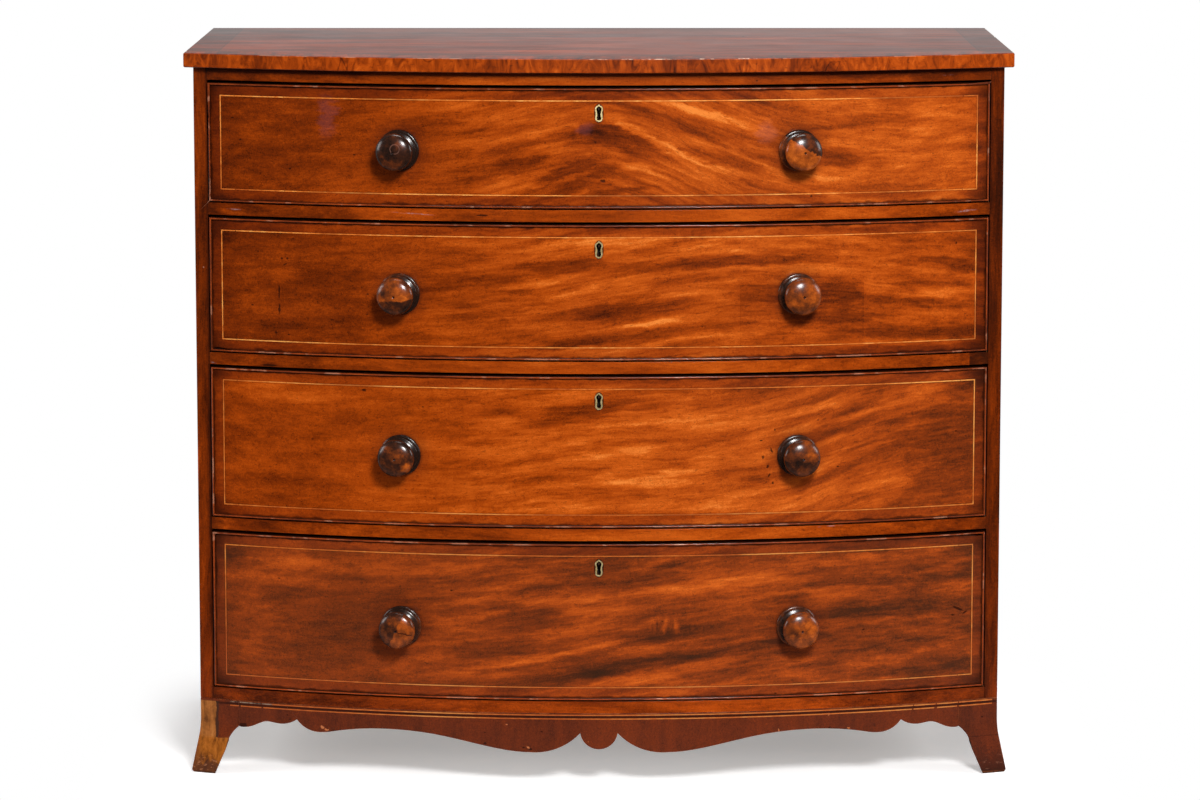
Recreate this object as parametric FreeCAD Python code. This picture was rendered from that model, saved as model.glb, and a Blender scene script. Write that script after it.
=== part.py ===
# Bow front chest of four long drawers on splayed feet, in millimetres.
# +X is to the right, -Y to the front and +Z up.  While the chest is being drawn, y = 0 is the plane
# through the two front corners of the carcase; at the end everything is moved so that the origin
# stands on the floor in the middle of the whole chest, knobs included.
import FreeCAD
import Part
import math
import os
from FreeCAD import Vector

# ---- driving dimensions ---------------------------------------------------------------------
# carcase
carcase_width = 1056.0
carcase_depth = 455.0
bow_depth = 100.0             # how far the middle of the front stands before its corners
side_thickness = 18.0
base_level = 99.5             # underside of the carcase, top of feet and apron
top_thickness = 19.0
top_overhang = 12.0
top_edge_bevel = 1.2
back_thickness = 12.0
back_rebate = 9.0             # how far the back boards lie over the side boards
back_board_count = 5
back_board_gap = 1.0

# rails
rail_thickness = 15.8
top_rail_thickness = 16.2
rail_back_y = 45.0            # straight rear edge of the bowed rails
rear_rail_depth = 60.0
base_rail_depth = 20.0
base_board_housing = 6.0      # how far the carcase bottom is let into the sides
tenon_length = 8.0
tenon_shoulder = 3.0
tenon_front_y = 5.0
tenon_back_y = 40.0

# inside the carcase
runner_width = 22.0
dust_board_thickness = 8.0
dust_board_tongue = 5.0
stop_place = 200.0
stop_width = 40.0
stop_depth = 18.0
stop_height = 5.0             # above the runners
stop_gap = 0.4

# drawers, the top one first: height of the front, and knob height above its lower edge
drawer_heights = (155.0, 176.0, 198.0, 207.0)
knob_heights = (73.0, 84.0, 92.0, 94.0)
gap_above = 3.3
gap_below = 2.0
gap_beside = 1.5
front_thickness = 24.0
drawer_side_thickness = 10.0
drawer_side_gap = 2.0
drawer_side_drop = 8.0        # top of the sides below the top of the front
drawer_side_bevel = 2.0
drawer_back_y = 422.0
drawer_back_thickness = 9.0
drawer_back_drop = 7.0        # top of the back below the top of the sides
bottom_thickness = 6.5
bottom_height = 9.0           # underside of the bottom above the runners
bottom_groove = 5.0           # groove in the front
bottom_side_groove = 4.0

# lapped dovetails at the front, through dovetails at the back
dovetail_lap = 7.5
dovetail_pitch = 42.0
dovetail_pin = 5.0
dovetail_slope = 1.0 / 6.0

# cockbead: a mitred strip let into a rebate all round the drawer front
bead_width = 3.0
bead_proud = 3.0
bead_let_in = 6.0
bead_bevel = 0.9              # takes the two corners off the nose

# turned knobs
knob_place = 257.5
knob_reach = 38.5             # from the drawer front to the face of the head
knob_collar_radius = 27.0
knob_collar_height = 6.0
knob_neck_radius = 12.5
knob_neck_reach = 14.0
knob_head_radius = 24.2
knob_head_start = 27.0        # reach of the rear edge of the head
knob_face_radius = 21.6
knob_face_bevel = 3.5

# keyhole with its brass thread, lock and bolt
keyhole_drop = 21.0           # top of the brass thread below the top of the front
keyhole_height = 22.5
keyhole_bulb = 10.6
keyhole_waist = 8.8
keyhole_foot = 9.6
thread_width = 1.9
thread_depth = 3.0
thread_proud = 0.3
lock_width = 66.0
lock_height = 46.0
lock_thickness = 12.0
bolt_width = 26.0
bolt_thickness = 5.0
bolt_height = 24.0
bolt_clearance = 0.3
bolt_mortise_depth = 8.0
key_pin_radius = 1.2
key_pin_drop = 27.5
key_pin_setback = 3.0
key_room_depth = 7.0          # hollow of the lock case behind the keyhole

# feet, apron and skirts
foot_width = 52.0             # at the top, seen from the front and from the side
foot_knee = 64.5              # where apron and skirt meet the inner edge of a foot
foot_ankle = 34.0             # inner edge to carcase corner, where the inner curve ends
foot_turn = 33.0
sole_width = 31.5
foot_flare = 12.0             # how far the toes stand out beyond the carcase
flare_top = 72.0
flare_turn = 46.0             # the flare is an arc above this height, straight below
flare_spring = 2.9            # how far it stands out there
toe_height = 3.5
sole_bevel = 2.5
apron_thickness = 20.0
skirt_thickness = 18.0
skirt_arch_height = 74.0
block_depth = 26.0
block_height = 26.0
block_length = 70.0
apron_block_places = (-330.0, -200.0, -70.0, 70.0, 200.0, 330.0)
skirt_block_places = (130.0, 330.0)

# ---- sizes worked out from them ------------------------------------------------------------------
half_carcase = carcase_width / 2
half_inside = half_carcase - side_thickness
bow_radius = (half_carcase ** 2 + bow_depth ** 2) / (2 * bow_depth)
bow_centre_y = bow_radius - bow_depth
back_front_y = carcase_depth - back_thickness
half_front = half_inside - gap_beside
half_drawer = half_inside - drawer_side_gap
half_drawer_inside = half_drawer - drawer_side_thickness

# runner level of each drawer, from the bottom drawer up
runner_levels = []
level = base_level + rail_thickness
for height in reversed(drawer_heights):
    runner_levels.insert(0, level)
    level += gap_below + height + gap_above + rail_thickness
top_rail_level = level - rail_thickness
carcase_top = top_rail_level + top_rail_thickness
chest_height = carcase_top + top_thickness

# each knob stands square to the bow, so it is tilted outward, and the inner rim of its face
# reaches furthest forward
knob_tilt = math.asin(knob_place / bow_radius)
knob_seat_y = bow_centre_y - bow_radius * math.cos(knob_tilt)
knob_front_y = (knob_seat_y - knob_reach * math.cos(knob_tilt)
                - knob_face_radius * math.sin(knob_tilt))
middle_y = (carcase_depth + knob_front_y) / 2


# ---- helpers -------------------------------------------------------------------------------------
def box(x0, x1, y0, y1, z0, z1):
    return Part.makeBox(x1 - x0, y1 - y0, z1 - z0, Vector(x0, y0, z0))


def bow_y(x, offset=0.0):
    """y of the bowed face at x; a positive offset lies before the face."""
    return bow_centre_y - math.sqrt((bow_radius + offset) ** 2 - x ** 2)


def bow_arc(offset, half_width, z):
    """Arc from left to right, parallel to the bowed face."""
    left = Vector(-half_width, bow_y(half_width, offset), z)
    middle = Vector(0, bow_y(0, offset), z)
    right = Vector(half_width, bow_y(half_width, offset), z)
    return Part.Arc(left, middle, right).toShape(), left, right


def bowed_board(front_offset, half_width, back_y, z0, z1):
    """Board with a bowed front edge and a straight back edge."""
    front, left, right = bow_arc(front_offset, half_width, z0)
    back_left = Vector(-half_width, back_y, z0)
    back_right = Vector(half_width, back_y, z0)
    edges = [front,
             Part.makeLine(right, back_right),
             Part.makeLine(back_right, back_left),
             Part.makeLine(back_left, left)]
    return Part.Face(Part.Wire(edges)).extrude(Vector(0, 0, z1 - z0))


def bowed_strip(back_offset, front_offset, half_width, z0, z1):
    """Strip between two curves that are both parallel to the bowed face."""
    front, front_left, front_right = bow_arc(front_offset, half_width, z0)
    back, back_left, back_right = bow_arc(back_offset, half_width, z0)
    edges = [front,
             Part.makeLine(front_right, back_right),
             back,
             Part.makeLine(back_left, front_left)]
    return Part.Face(Part.Wire(Part.__sortEdges__(edges))).extrude(Vector(0, 0, z1 - z0))


def prism(points, direction):
    """Straight-sided outline, extruded."""
    outline = Part.makePolygon(points + [points[0]])
    return Part.Face(outline).extrude(direction)


def curve_through(points, start=None, end=None):
    """Smooth edge through the points, with end directions where they matter."""
    curve = Part.BSplineCurve()
    if start is None:
        curve.interpolate(Points=points)
    else:
        curve.interpolate(Points=points, InitialTangent=start, FinalTangent=end)
    return curve.toShape()


def mirrored(shape):
    return shape.mirror(Vector(0, 0, 0), Vector(1, 0, 0))


def fused(shapes):
    return shapes[0].multiFuse(shapes[1:]).removeSplitter()


def turned(profile, start_angle, sweep):
    """Solid of revolution about the upright axis of the bow."""
    axis_point = Vector(0, bow_centre_y, 0)
    start = profile.copy()
    start.rotate(axis_point, Vector(0, 0, 1), start_angle)
    return start.revolve(axis_point, Vector(0, 0, 1), sweep)


# ---- carcase -------------------------------------------------------------------------------------
def make_top_board():
    board = bowed_board(top_overhang, half_carcase + top_overhang, carcase_depth,
                        carcase_top, chest_height)
    shown = [edge for edge in board.Edges
             if abs(edge.BoundBox.ZLength) < 0.01 and edge.BoundBox.YMin < carcase_depth - 1]
    return board.makeChamfer(top_edge_bevel, shown)


def tenon(side, z0, z1, front_y=tenon_front_y, back_y=tenon_back_y):
    """Stub tenon on one end of a rail: side is -1 for the left end and 1 for the right."""
    x0, x1 = sorted((side * half_inside, side * (half_inside + tenon_length)))
    return box(x0, x1, front_y, back_y, z0 + tenon_shoulder, z1 - tenon_shoulder)


def with_tenons(rail, z0, z1, front_y=tenon_front_y, back_y=tenon_back_y):
    ends = [tenon(side, z0, z1, front_y, back_y) for side in (-1, 1)]
    return fused([rail] + ends)


def bolt_mortise(z0):
    """Pocket in the underside of a rail for the lock bolt of the drawer below."""
    middle = -bow_depth + front_thickness - lock_thickness / 2
    half = bolt_thickness / 2 + 1.0
    side = bolt_width / 2 + 1.5
    return box(-side, side, middle - half, middle + half, z0 - 1, z0 + bolt_mortise_depth)


def make_front_top_rail():
    rail = bowed_board(0, half_inside, rail_back_y, top_rail_level, carcase_top)
    rail = with_tenons(rail, top_rail_level, carcase_top)
    return rail.cut(bolt_mortise(top_rail_level))


def make_rear_top_rail():
    front_y = back_front_y - rear_rail_depth
    rail = box(-half_inside, half_inside, front_y, back_front_y, top_rail_level, carcase_top)
    return with_tenons(rail, top_rail_level, carcase_top,
                       front_y + tenon_shoulder, back_front_y - tenon_shoulder)


def dust_board(level):
    """Thin board behind a divider rail, tongued into the rail and the runners."""
    middle = level - rail_thickness / 2
    half_width = half_inside - runner_width + dust_board_tongue
    return box(-half_width, half_width, rail_back_y - dust_board_tongue, back_front_y - 1,
               middle - dust_board_thickness / 2, middle + dust_board_thickness / 2)


def make_divider_rail(level):
    rail = bowed_board(0, half_inside, rail_back_y, level - rail_thickness, level)
    rail = with_tenons(rail, level - rail_thickness, level)
    return rail.cut([bolt_mortise(level - rail_thickness), dust_board(level)])


def make_base_rail():
    return bowed_strip(-base_rail_depth, 0, half_inside, base_level, base_level + rail_thickness)


def make_base_board():
    narrow = bowed_board(-base_rail_depth, half_inside, back_front_y,
                         base_level, base_level + rail_thickness)
    housed = box(-half_inside - base_board_housing, half_inside + base_board_housing,
                 rail_back_y, back_front_y, base_level, base_level + rail_thickness)
    return fused([narrow, housed])


def make_side(side, rails_and_board):
    """Side board; its front edge is the stile and follows the bow."""
    x0, x1 = sorted((side * half_inside, side * half_carcase))
    board = box(x0, x1, -bow_depth, carcase_depth, base_level, carcase_top)
    board = board.common(bowed_board(0, half_carcase, carcase_depth, base_level, carcase_top))
    r0, r1 = sorted((side * half_inside, side * (half_inside + back_rebate)))
    rebate = box(r0, r1, back_front_y, carcase_depth, base_level, carcase_top)
    return board.cut([rebate] + rails_and_board)


def make_back_boards():
    span = 2 * (half_inside + back_rebate)
    pitch = span / back_board_count
    boards = []
    for number in range(back_board_count):
        x0 = -span / 2 + number * pitch + back_board_gap / 2
        x1 = x0 + pitch - back_board_gap
        boards.append(box(x0, x1, back_front_y, carcase_depth, base_level, carcase_top))
    return boards


def runner(side, y0, y1, z0, z1):
    x0, x1 = sorted((side * half_inside, side * (half_inside - runner_width)))
    return box(x0, x1, y0, y1, z0, z1)


def make_drawer_runners():
    pieces = []
    for level in runner_levels[:-1]:
        for side in (-1, 1):
            strip = runner(side, rail_back_y, back_front_y, level - rail_thickness, level)
            pieces.append(strip.cut(dust_board(level)))
    for side in (-1, 1):
        pieces.append(runner(side, rail_back_y, back_front_y - rear_rail_depth,
                             top_rail_level, carcase_top))
    return pieces


def make_drawer_stops():
    blocks = []
    outer = stop_place + stop_width / 2
    inner = stop_place - stop_width / 2
    front_y = bow_y(outer, -front_thickness) + stop_gap
    for level in runner_levels:
        block = box(inner, outer, front_y, front_y + stop_depth, level, level + stop_height)
        blocks += [block, mirrored(block)]
    return blocks


# ---- feet, apron and skirts ----------------------------------------------------------------------
def flare_edges(place):
    """Outer edge of a foot, flaring from the carcase down to the floor.

    place turns (distance out from the carcase, height) into a point.
    """
    toe = place(foot_flare, toe_height)
    spring = place(flare_spring, flare_turn)
    half_turn = place(0.26 * flare_spring, (flare_turn + flare_top) / 2)
    return [Part.makeLine(place(foot_flare - sole_bevel, 0), toe),
            Part.makeLine(toe, spring),
            Part.Arc(spring, half_turn, place(0, flare_top)).toShape(),
            Part.makeLine(place(0, flare_top), place(0, base_level))]


def foot_outline(place):
    """Closed outline of a foot from one side, with its flared outer and its curved inner edge."""
    knee = place(-foot_width, foot_knee)
    ankle = place(-foot_ankle, foot_turn)
    inner_bend = place(-0.78 * foot_width, 51.5)
    heel = place(-sole_width + foot_flare, 0)
    edges = flare_edges(place)
    edges += [Part.makeLine(place(0, base_level), place(-foot_width, base_level)),
              Part.makeLine(place(-foot_width, base_level), knee),
              Part.Arc(knee, inner_bend, ankle).toShape(),
              Part.makeLine(ankle, heel),
              Part.makeLine(heel, place(foot_flare - sole_bevel, 0))]
    return Part.Face(Part.Wire(Part.__sortEdges__(edges)))


def seen_from_front(reach):
    """The right foot's front elevation, from well before the chest to reach behind the corners."""
    face = foot_outline(lambda out, height: Vector(half_carcase + out, -2 * foot_width, height))
    return face.extrude(Vector(0, reach + 2 * foot_width, 0))


def seen_from_side(back_y):
    """A foot's side elevation, its flared edge towards +Y at back_y, across the whole chest."""
    face = foot_outline(lambda out, height: Vector(0, back_y + out, height))
    return face.extrude(Vector(half_carcase + 2 * foot_width, 0, 0))


def behind_flare():
    """Room behind the flared front face, which runs along the chord of the bow at the foot."""
    inner_x = half_carcase - foot_width
    chord = Vector(half_carcase, 0, 0) - Vector(inner_x, bow_y(inner_x), 0)
    forward = Vector(chord.y, -chord.x, 0).normalize()
    start = Vector(half_carcase, 0, 0) - chord * 3

    def place(out, height):
        return start + forward * out + Vector(0, 0, height)

    back = 3 * foot_width
    edges = flare_edges(place)
    edges += [Part.makeLine(place(0, base_level), place(-back, base_level)),
              Part.makeLine(place(-back, base_level), place(-back, 0)),
              Part.makeLine(place(-back, 0), place(foot_flare - sole_bevel, 0))]
    return Part.Face(Part.Wire(Part.__sortEdges__(edges))).extrude(chord * 5)


def make_front_foot():
    """Right front foot: flares forward with the bow and outward with the side."""
    back_curve = seen_from_side(0).mirror(Vector(0, 0, 0), Vector(0, 1, 0))
    room_before = box(0, 2 * half_carcase, -2 * foot_width, 0, 0, base_level)
    block = seen_from_front(2 * foot_width).common(behind_flare())
    return block.common(fused([back_curve, room_before]))


def make_rear_foot():
    """Right rear foot: flares outward only, its back is flush with the carcase."""
    before_back = box(0, 2 * half_carcase, 0, carcase_depth, 0, base_level)
    block = seen_from_front(carcase_depth).common(seen_from_side(carcase_depth))
    return block.common(before_back)


def apron_outline():
    """Right half of the scalloped lower edge, from the middle out to the foot, as edges."""
    y = -2 * bow_depth

    def at(x, z):
        return Vector(x, y, z)

    lobe_radius = 24.6
    lobe_height = 76.2
    cusp_x = 24.4
    inner_low = at(89.5, 47.0)
    outer_low = at(369.0, 63.8)
    outer_cusp = at(397.7, 79.2)
    end_cusp_low = at(420.0, 71.8)
    end = at(half_carcase - foot_width, foot_knee)
    cusp = at(cusp_x, lobe_height - math.sqrt(lobe_radius ** 2 - cusp_x ** 2))
    lobe_half = at(lobe_radius * math.sin(math.radians(45)),
                   lobe_height - lobe_radius * math.cos(math.radians(45)))
    flat = Vector(1, 0, 0)
    lobe = Part.Arc(at(0, lobe_height - lobe_radius), lobe_half, cusp).toShape()
    inner_drop = Part.Arc(cusp, at(50.0, 54.3), inner_low).toShape()
    long_rise = curve_through([inner_low, at(140.0, 52.8), at(177.0, 60.8), at(214.0, 68.0),
                               at(275.0, 72.9), at(326.0, 69.9), at(350.0, 65.9), outer_low],
                              flat, flat)
    outer_rise = Part.Arc(outer_low, at(386.0, 68.4), outer_cusp).toShape()
    end_wave = curve_through([outer_cusp, at(407.0, 74.0), end_cusp_low, at(440.0, 73.6),
                              at(455.0, 67.4), at(465.0, 64.2), end])
    return [lobe, inner_drop, long_rise, outer_rise, end_wave], end


def make_apron():
    """Bowed apron between the front feet, its lower edge cut in lobes and cusps."""
    edges, end = apron_outline()
    end_top = Vector(end.x, end.y, base_level)
    middle_top = Vector(0, end.y, base_level)
    middle = edges[0].Vertexes[0].Point
    edges += [Part.makeLine(end, end_top),
              Part.makeLine(end_top, middle_top),
              Part.makeLine(middle_top, middle)]
    half = Part.Face(Part.Wire(Part.__sortEdges__(edges))).extrude(Vector(0, 3 * bow_depth, 0))
    whole = fused([half, mirrored(half)])
    board = bowed_strip(-apron_thickness, 0, half_carcase - foot_width, 0, base_level)
    return board.common(whole)


def make_side_skirt():
    """Right skirt between the feet, with a shallow arch below."""
    knee = foot_knee
    y0 = foot_width
    y1 = carcase_depth - foot_width
    x = half_carcase - skirt_thickness
    arch = Part.Arc(Vector(x, y0, knee),
                    Vector(x, (y0 + y1) / 2, skirt_arch_height),
                    Vector(x, y1, knee)).toShape()
    edges = [arch,
             Part.makeLine(Vector(x, y1, knee), Vector(x, y1, base_level)),
             Part.makeLine(Vector(x, y1, base_level), Vector(x, y0, base_level)),
             Part.makeLine(Vector(x, y0, base_level), Vector(x, y0, knee))]
    return Part.Face(Part.Wire(edges)).extrude(Vector(skirt_thickness, 0, 0))


def make_glue_blocks():
    """Blocks under the carcase bottom, behind the apron and inside the skirts."""
    lower = base_level - block_height
    band = bowed_strip(-apron_thickness - block_depth, -apron_thickness,
                       half_carcase - foot_width, lower, base_level)
    blocks = []
    for place in apron_block_places:
        window = box(place - block_length / 2, place + block_length / 2,
                     -2 * bow_depth, bow_depth, lower, base_level)
        blocks.append(band.common(window))
    x1 = half_carcase - skirt_thickness
    for place in skirt_block_places:
        block = box(x1 - block_depth, x1, place - block_length / 2, place + block_length / 2,
                    lower, base_level)
        blocks += [block, mirrored(block)]
    return blocks


# ---- drawers -------------------------------------------------------------------------------------
def keyhole_solid(inset, top, y0, y1):
    """Keyhole shape from y0 to y1: pointed top, round head, waist and round foot.

    inset shrinks it all round; its round stretches are fine facets, as befits a filed hole.
    """
    head = keyhole_bulb / 2 - inset
    waist = keyhole_waist / 2 - 1.3 * inset
    foot = keyhole_foot / 2 - inset
    head_z = top - 1.2 * keyhole_bulb / 2
    foot_z = top - keyhole_height + keyhole_foot / 2

    right = [(0, top - 1.2 * inset)]
    for angle in (40, 14, -12, -38):
        turn = math.radians(angle)
        right.append((head * math.cos(turn), head_z + head * math.sin(turn)))
    right.append((waist, (head_z + foot_z) / 2 - 1.0))
    for angle in (0, -30, -60, -90):
        turn = math.radians(angle)
        right.append((foot * math.cos(turn), foot_z + foot * math.sin(turn)))
    left = [(-x, z) for x, z in reversed(right[1:-1])]
    return prism([Vector(x, y0, z) for x, z in right + left], Vector(0, y1 - y0, 0))


def make_escutcheon(top):
    y0 = -bow_depth - thread_proud
    y1 = -bow_depth + thread_depth
    outer = keyhole_solid(0, top, y0, y1)
    return outer.cut(keyhole_solid(thread_width, top, y0 - 1, y1 + 1))


def lock_box(top, spare=0.0):
    back_y = -bow_depth + front_thickness
    return box(-lock_width / 2, lock_width / 2, back_y - lock_thickness, back_y + spare,
               top - lock_height, top)


def bolt_box(top, clearance, headroom):
    middle = -bow_depth + front_thickness - lock_thickness / 2
    half_width = bolt_width / 2 + clearance
    half_depth = bolt_thickness / 2 + clearance
    return box(-half_width, half_width, middle - half_depth, middle + half_depth,
               top - bolt_height, top + headroom)


def make_lock(top):
    """Lock case with the channel of its bolt, room for the key and the pin that guides the key."""
    front_y = -bow_depth + front_thickness - lock_thickness
    room_y = front_y + key_room_depth
    keyhole_top = top - keyhole_drop
    case = lock_box(top)
    case = case.cut(bolt_box(top, bolt_clearance, 1.0))
    case = case.cut(box(-keyhole_bulb / 2, keyhole_bulb / 2, front_y - 1, room_y,
                        keyhole_top - keyhole_height, keyhole_top))
    pin_start = room_y + 1
    pin_end = -bow_depth + key_pin_setback
    pin = Part.makeCylinder(key_pin_radius, pin_start - pin_end,
                            Vector(0, pin_start, top - key_pin_drop), Vector(0, -1, 0))
    return case.fuse(pin)


def make_lock_bolt(top):
    """Flat bolt with the notch that the key's bit lifts."""
    bolt = bolt_box(top, 0, 0)
    foot = top - bolt_height
    talon = prism([Vector(-4.5, -2 * bow_depth, foot - 1), Vector(4.5, -2 * bow_depth, foot - 1),
                   Vector(3, -2 * bow_depth, foot + 5), Vector(-3, -2 * bow_depth, foot + 5)],
                  Vector(0, 3 * bow_depth, 0))
    return bolt.cut(talon)


def make_knob(place, height):
    """Turned knob, square to the bow: collar, waisted neck and broad bevelled head."""
    profile = [(0, 0),
               (0, knob_collar_radius),
               (knob_collar_height, knob_collar_radius),
               (knob_neck_reach, knob_neck_radius),
               (knob_head_start, knob_head_radius),
               (knob_reach - knob_face_bevel, knob_head_radius),
               (knob_reach, knob_face_radius),
               (knob_reach, 0)]
    points = [Vector(radius, -reach, 0) for reach, radius in profile]
    outline = Part.makePolygon(points + [points[0]])
    knob = Part.Face(outline).revolve(Vector(0, 0, 0), Vector(0, 1, 0), 360)
    knob.rotate(Vector(0, 0, 0), Vector(0, 0, 1), math.degrees(math.asin(place / bow_radius)))
    knob.translate(Vector(place, bow_y(place), height))
    return knob


def make_cockbead(z0, z1):
    """Four mitred strips with bevelled noses: bottom, top, left and right."""
    w = bead_width
    c = bead_bevel
    y_nose = bow_y(0, bead_proud)
    y_back = bow_y(0, -bead_let_in)
    half_turn = math.degrees(math.asin(half_front / bow_radius)) + 1.0

    def level_strip(low):
        """Bottom or top strip, turned about the axis of the bow."""
        section = [Vector(0, y_back, low), Vector(0, y_nose + c, low), Vector(0, y_nose, low + c),
                   Vector(0, y_nose, low + w - c), Vector(0, y_nose + c, low + w),
                   Vector(0, y_back, low + w)]
        return turned(Part.Face(Part.makePolygon(section + [section[0]])), -half_turn, 2 * half_turn)

    def upright_strip():
        """Right strip, straight up; its back fits the curve of the front."""
        x_outer = half_front
        x_inner = half_front - w
        x_middle = half_front - w / 2
        outer_back = Vector(x_outer, bow_y(x_outer, -bead_let_in), z0)
        inner_back = Vector(x_inner, bow_y(x_inner, -bead_let_in), z0)
        back_middle = Vector(x_middle, bow_y(x_middle, -bead_let_in), z0)
        section = [inner_back,
                   Vector(x_inner, bow_y(x_inner, bead_proud) + c, z0),
                   Vector(x_inner + c, bow_y(x_inner + c, bead_proud), z0),
                   Vector(x_outer - c, bow_y(x_outer - c, bead_proud), z0),
                   Vector(x_outer, bow_y(x_outer, bead_proud) + c, z0),
                   outer_back]
        edges = [Part.makePolygon(section), Part.Arc(outer_back, back_middle, inner_back).toShape()]
        return Part.Face(Part.Wire(edges)).extrude(Vector(0, 0, z1 - z0))

    def mitre(points):
        """Room for one strip between its two mitred corners, in front view."""
        deep = [Vector(x, -3 * bow_depth, z) for x, z in points]
        return prism(deep, Vector(0, 6 * bow_depth, 0))

    # the 45 degree mitres run on a little past both edges of each strip
    out = half_front + 1.0
    corner = half_front - w - 1.0
    low, low_end = z0 - 1.0, z0 + w + 1.0
    high, high_end = z1 + 1.0, z1 - w - 1.0
    bottom = level_strip(z0).common(mitre([(-out, low), (out, low),
                                           (corner, low_end), (-corner, low_end)]))
    top = level_strip(z1 - w).common(mitre([(-out, high), (-corner, high_end),
                                            (corner, high_end), (out, high)]))
    right = upright_strip().common(mitre([(out, low), (out, high),
                                          (corner, high_end), (corner, low_end)]))
    return [bottom, top, mirrored(right), right]


def dovetail_tails(x0, x1, tip_y, root_y, z0, z1):
    """Tails that widen towards the tip, evenly spaced between z0 and z1."""
    count = max(3, round((z1 - z0) / dovetail_pitch))
    pitch = (z1 - z0) / count
    half_tip = (pitch - dovetail_pin) / 2
    half_root = half_tip - abs(root_y - tip_y) * dovetail_slope
    tails = []
    for number in range(count):
        z = z0 + (number + 0.5) * pitch
        tails.append(prism([Vector(x0, tip_y, z - half_tip), Vector(x0, tip_y, z + half_tip),
                            Vector(x0, root_y, z + half_root), Vector(x0, root_y, z - half_root)],
                           Vector(x1 - x0, 0, 0)))
    return Part.makeCompound(tails)


def make_drawer_box(level, z0, z1):
    """Sides, back and bottom of a drawer, and what they take out of its front.

    The sides carry the tails: lapped ones in the front and through ones in the back.
    """
    side_top = z1 - drawer_side_drop
    bottom_z = level + bottom_height
    bottom_top = bottom_z + bottom_thickness
    bottom = bowed_board(bottom_groove - front_thickness, half_drawer_inside + bottom_side_groove,
                         drawer_back_y, bottom_z, bottom_top)
    tip_y = bow_y(half_drawer) + dovetail_lap
    root_y = bow_y(half_drawer, -front_thickness) + 2.0
    full = box(half_drawer_inside, half_drawer, tip_y, drawer_back_y, level, side_top)
    crown = [edge for edge in full.Edges
             if abs(edge.BoundBox.ZMin - side_top) < 0.01 and edge.BoundBox.YLength > 100]
    full = full.makeChamfer(drawer_side_bevel, crown)
    front_zone = bowed_strip(-front_thickness, 0, half_inside, level - 1, z1 + 1)
    tails = dovetail_tails(half_drawer_inside, half_drawer, tip_y, root_y, z0 + 4, side_top - 4)
    front_tails = tails.common(full).common(front_zone)
    back_front = drawer_back_y - drawer_back_thickness
    back_top = side_top - drawer_back_drop
    back = box(-half_drawer, half_drawer, back_front, drawer_back_y, bottom_top, back_top)
    rear_tails = dovetail_tails(half_drawer_inside, half_drawer, drawer_back_y, back_front,
                                bottom_top + 2, back_top - 2)
    back = back.cut([rear_tails, mirrored(rear_tails)])
    right = full.cut(front_zone).fuse(front_tails)
    right = right.cut([bottom, back])
    sockets = [front_tails, mirrored(front_tails), bottom]
    return mirrored(right), right, back, bottom, sockets


def make_drawer_front(z0, z1, sockets):
    """Bowed front with the rebate of the cockbead, dovetail sockets, lock recess and keyhole."""
    inner = bowed_strip(-front_thickness, -bead_let_in, half_front, z0, z1)
    face = bowed_strip(-bead_let_in, 0, half_front - bead_width, z0 + bead_width, z1 - bead_width)
    front = fused([inner, face])
    keyhole_top = z1 - keyhole_drop
    recess_front = -bow_depth + front_thickness - lock_thickness
    cutters = sockets + [
        lock_box(z1, 1.0),
        keyhole_solid(thread_width, keyhole_top, -bow_depth - 1, recess_front + 1),
        keyhole_solid(0, keyhole_top, -bow_depth - 1, -bow_depth + thread_depth)]
    return front.cut(cutters)


# ---- the whole chest -----------------------------------------------------------------------------
def export(name, pieces):
    """Write one node: a single solid, or a group of like solids."""
    if not isinstance(pieces, list):
        pieces = [pieces]
    solids = []
    for piece in pieces:
        solids += piece.Solids
    shape = solids[0] if len(solids) == 1 else Part.makeCompound(solids)
    shape = shape.copy()
    shape.translate(Vector(0, -middle_y, 0))
    bad = [solid for solid in solids if not solid.isValid()]
    shape.exportStep("parts/" + name + ".step")
    print("%-24s %2d solids %s" % (name, len(solids), "NOT VALID" if bad else ""))


def make_carcase():
    top_rails = [make_front_top_rail(), make_rear_top_rail()]
    dividers = [make_divider_rail(level) for level in runner_levels[:-1]]
    base_board = make_base_board()
    let_in = top_rails + dividers + [base_board]
    export("top_board", make_top_board())
    export("left_side", make_side(-1, let_in))
    export("right_side", make_side(1, let_in))
    export("back_boards", make_back_boards())
    export("top_rails", top_rails)
    for number, divider in enumerate(dividers, 1):
        export("divider_rail_%d" % number, divider)
    export("base_rail", make_base_rail())
    export("base_board", base_board)
    export("dust_boards", [dust_board(level) for level in runner_levels[:-1]])
    export("drawer_runners", make_drawer_runners())
    export("drawer_stops", make_drawer_stops())


def make_stand():
    front_foot = make_front_foot()
    rear_foot = make_rear_foot()
    skirt = make_side_skirt()
    export("apron", make_apron())
    export("front_right_foot", front_foot)
    export("front_left_foot", mirrored(front_foot))
    export("rear_right_foot", rear_foot)
    export("rear_left_foot", mirrored(rear_foot))
    export("side_skirts", [mirrored(skirt), skirt])
    export("glue_blocks", make_glue_blocks())


def make_drawer(number):
    level = runner_levels[number - 1]
    z0 = level + gap_below
    z1 = z0 + drawer_heights[number - 1]
    knob_z = z0 + knob_heights[number - 1]
    name = "drawer_%d_" % number
    left, right, back, bottom, sockets = make_drawer_box(level, z0, z1)
    export(name + "front", make_drawer_front(z0, z1, sockets))
    export(name + "left_side", left)
    export(name + "right_side", right)
    export(name + "back", back)
    export(name + "bottom", bottom)
    export(name + "cockbead", make_cockbead(z0, z1))
    export(name + "knobs", [make_knob(-knob_place, knob_z), make_knob(knob_place, knob_z)])
    export(name + "escutcheon", make_escutcheon(z1 - keyhole_drop))
    export(name + "lock", make_lock(z1))
    export(name + "lock_bolt", make_lock_bolt(z1))


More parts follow.
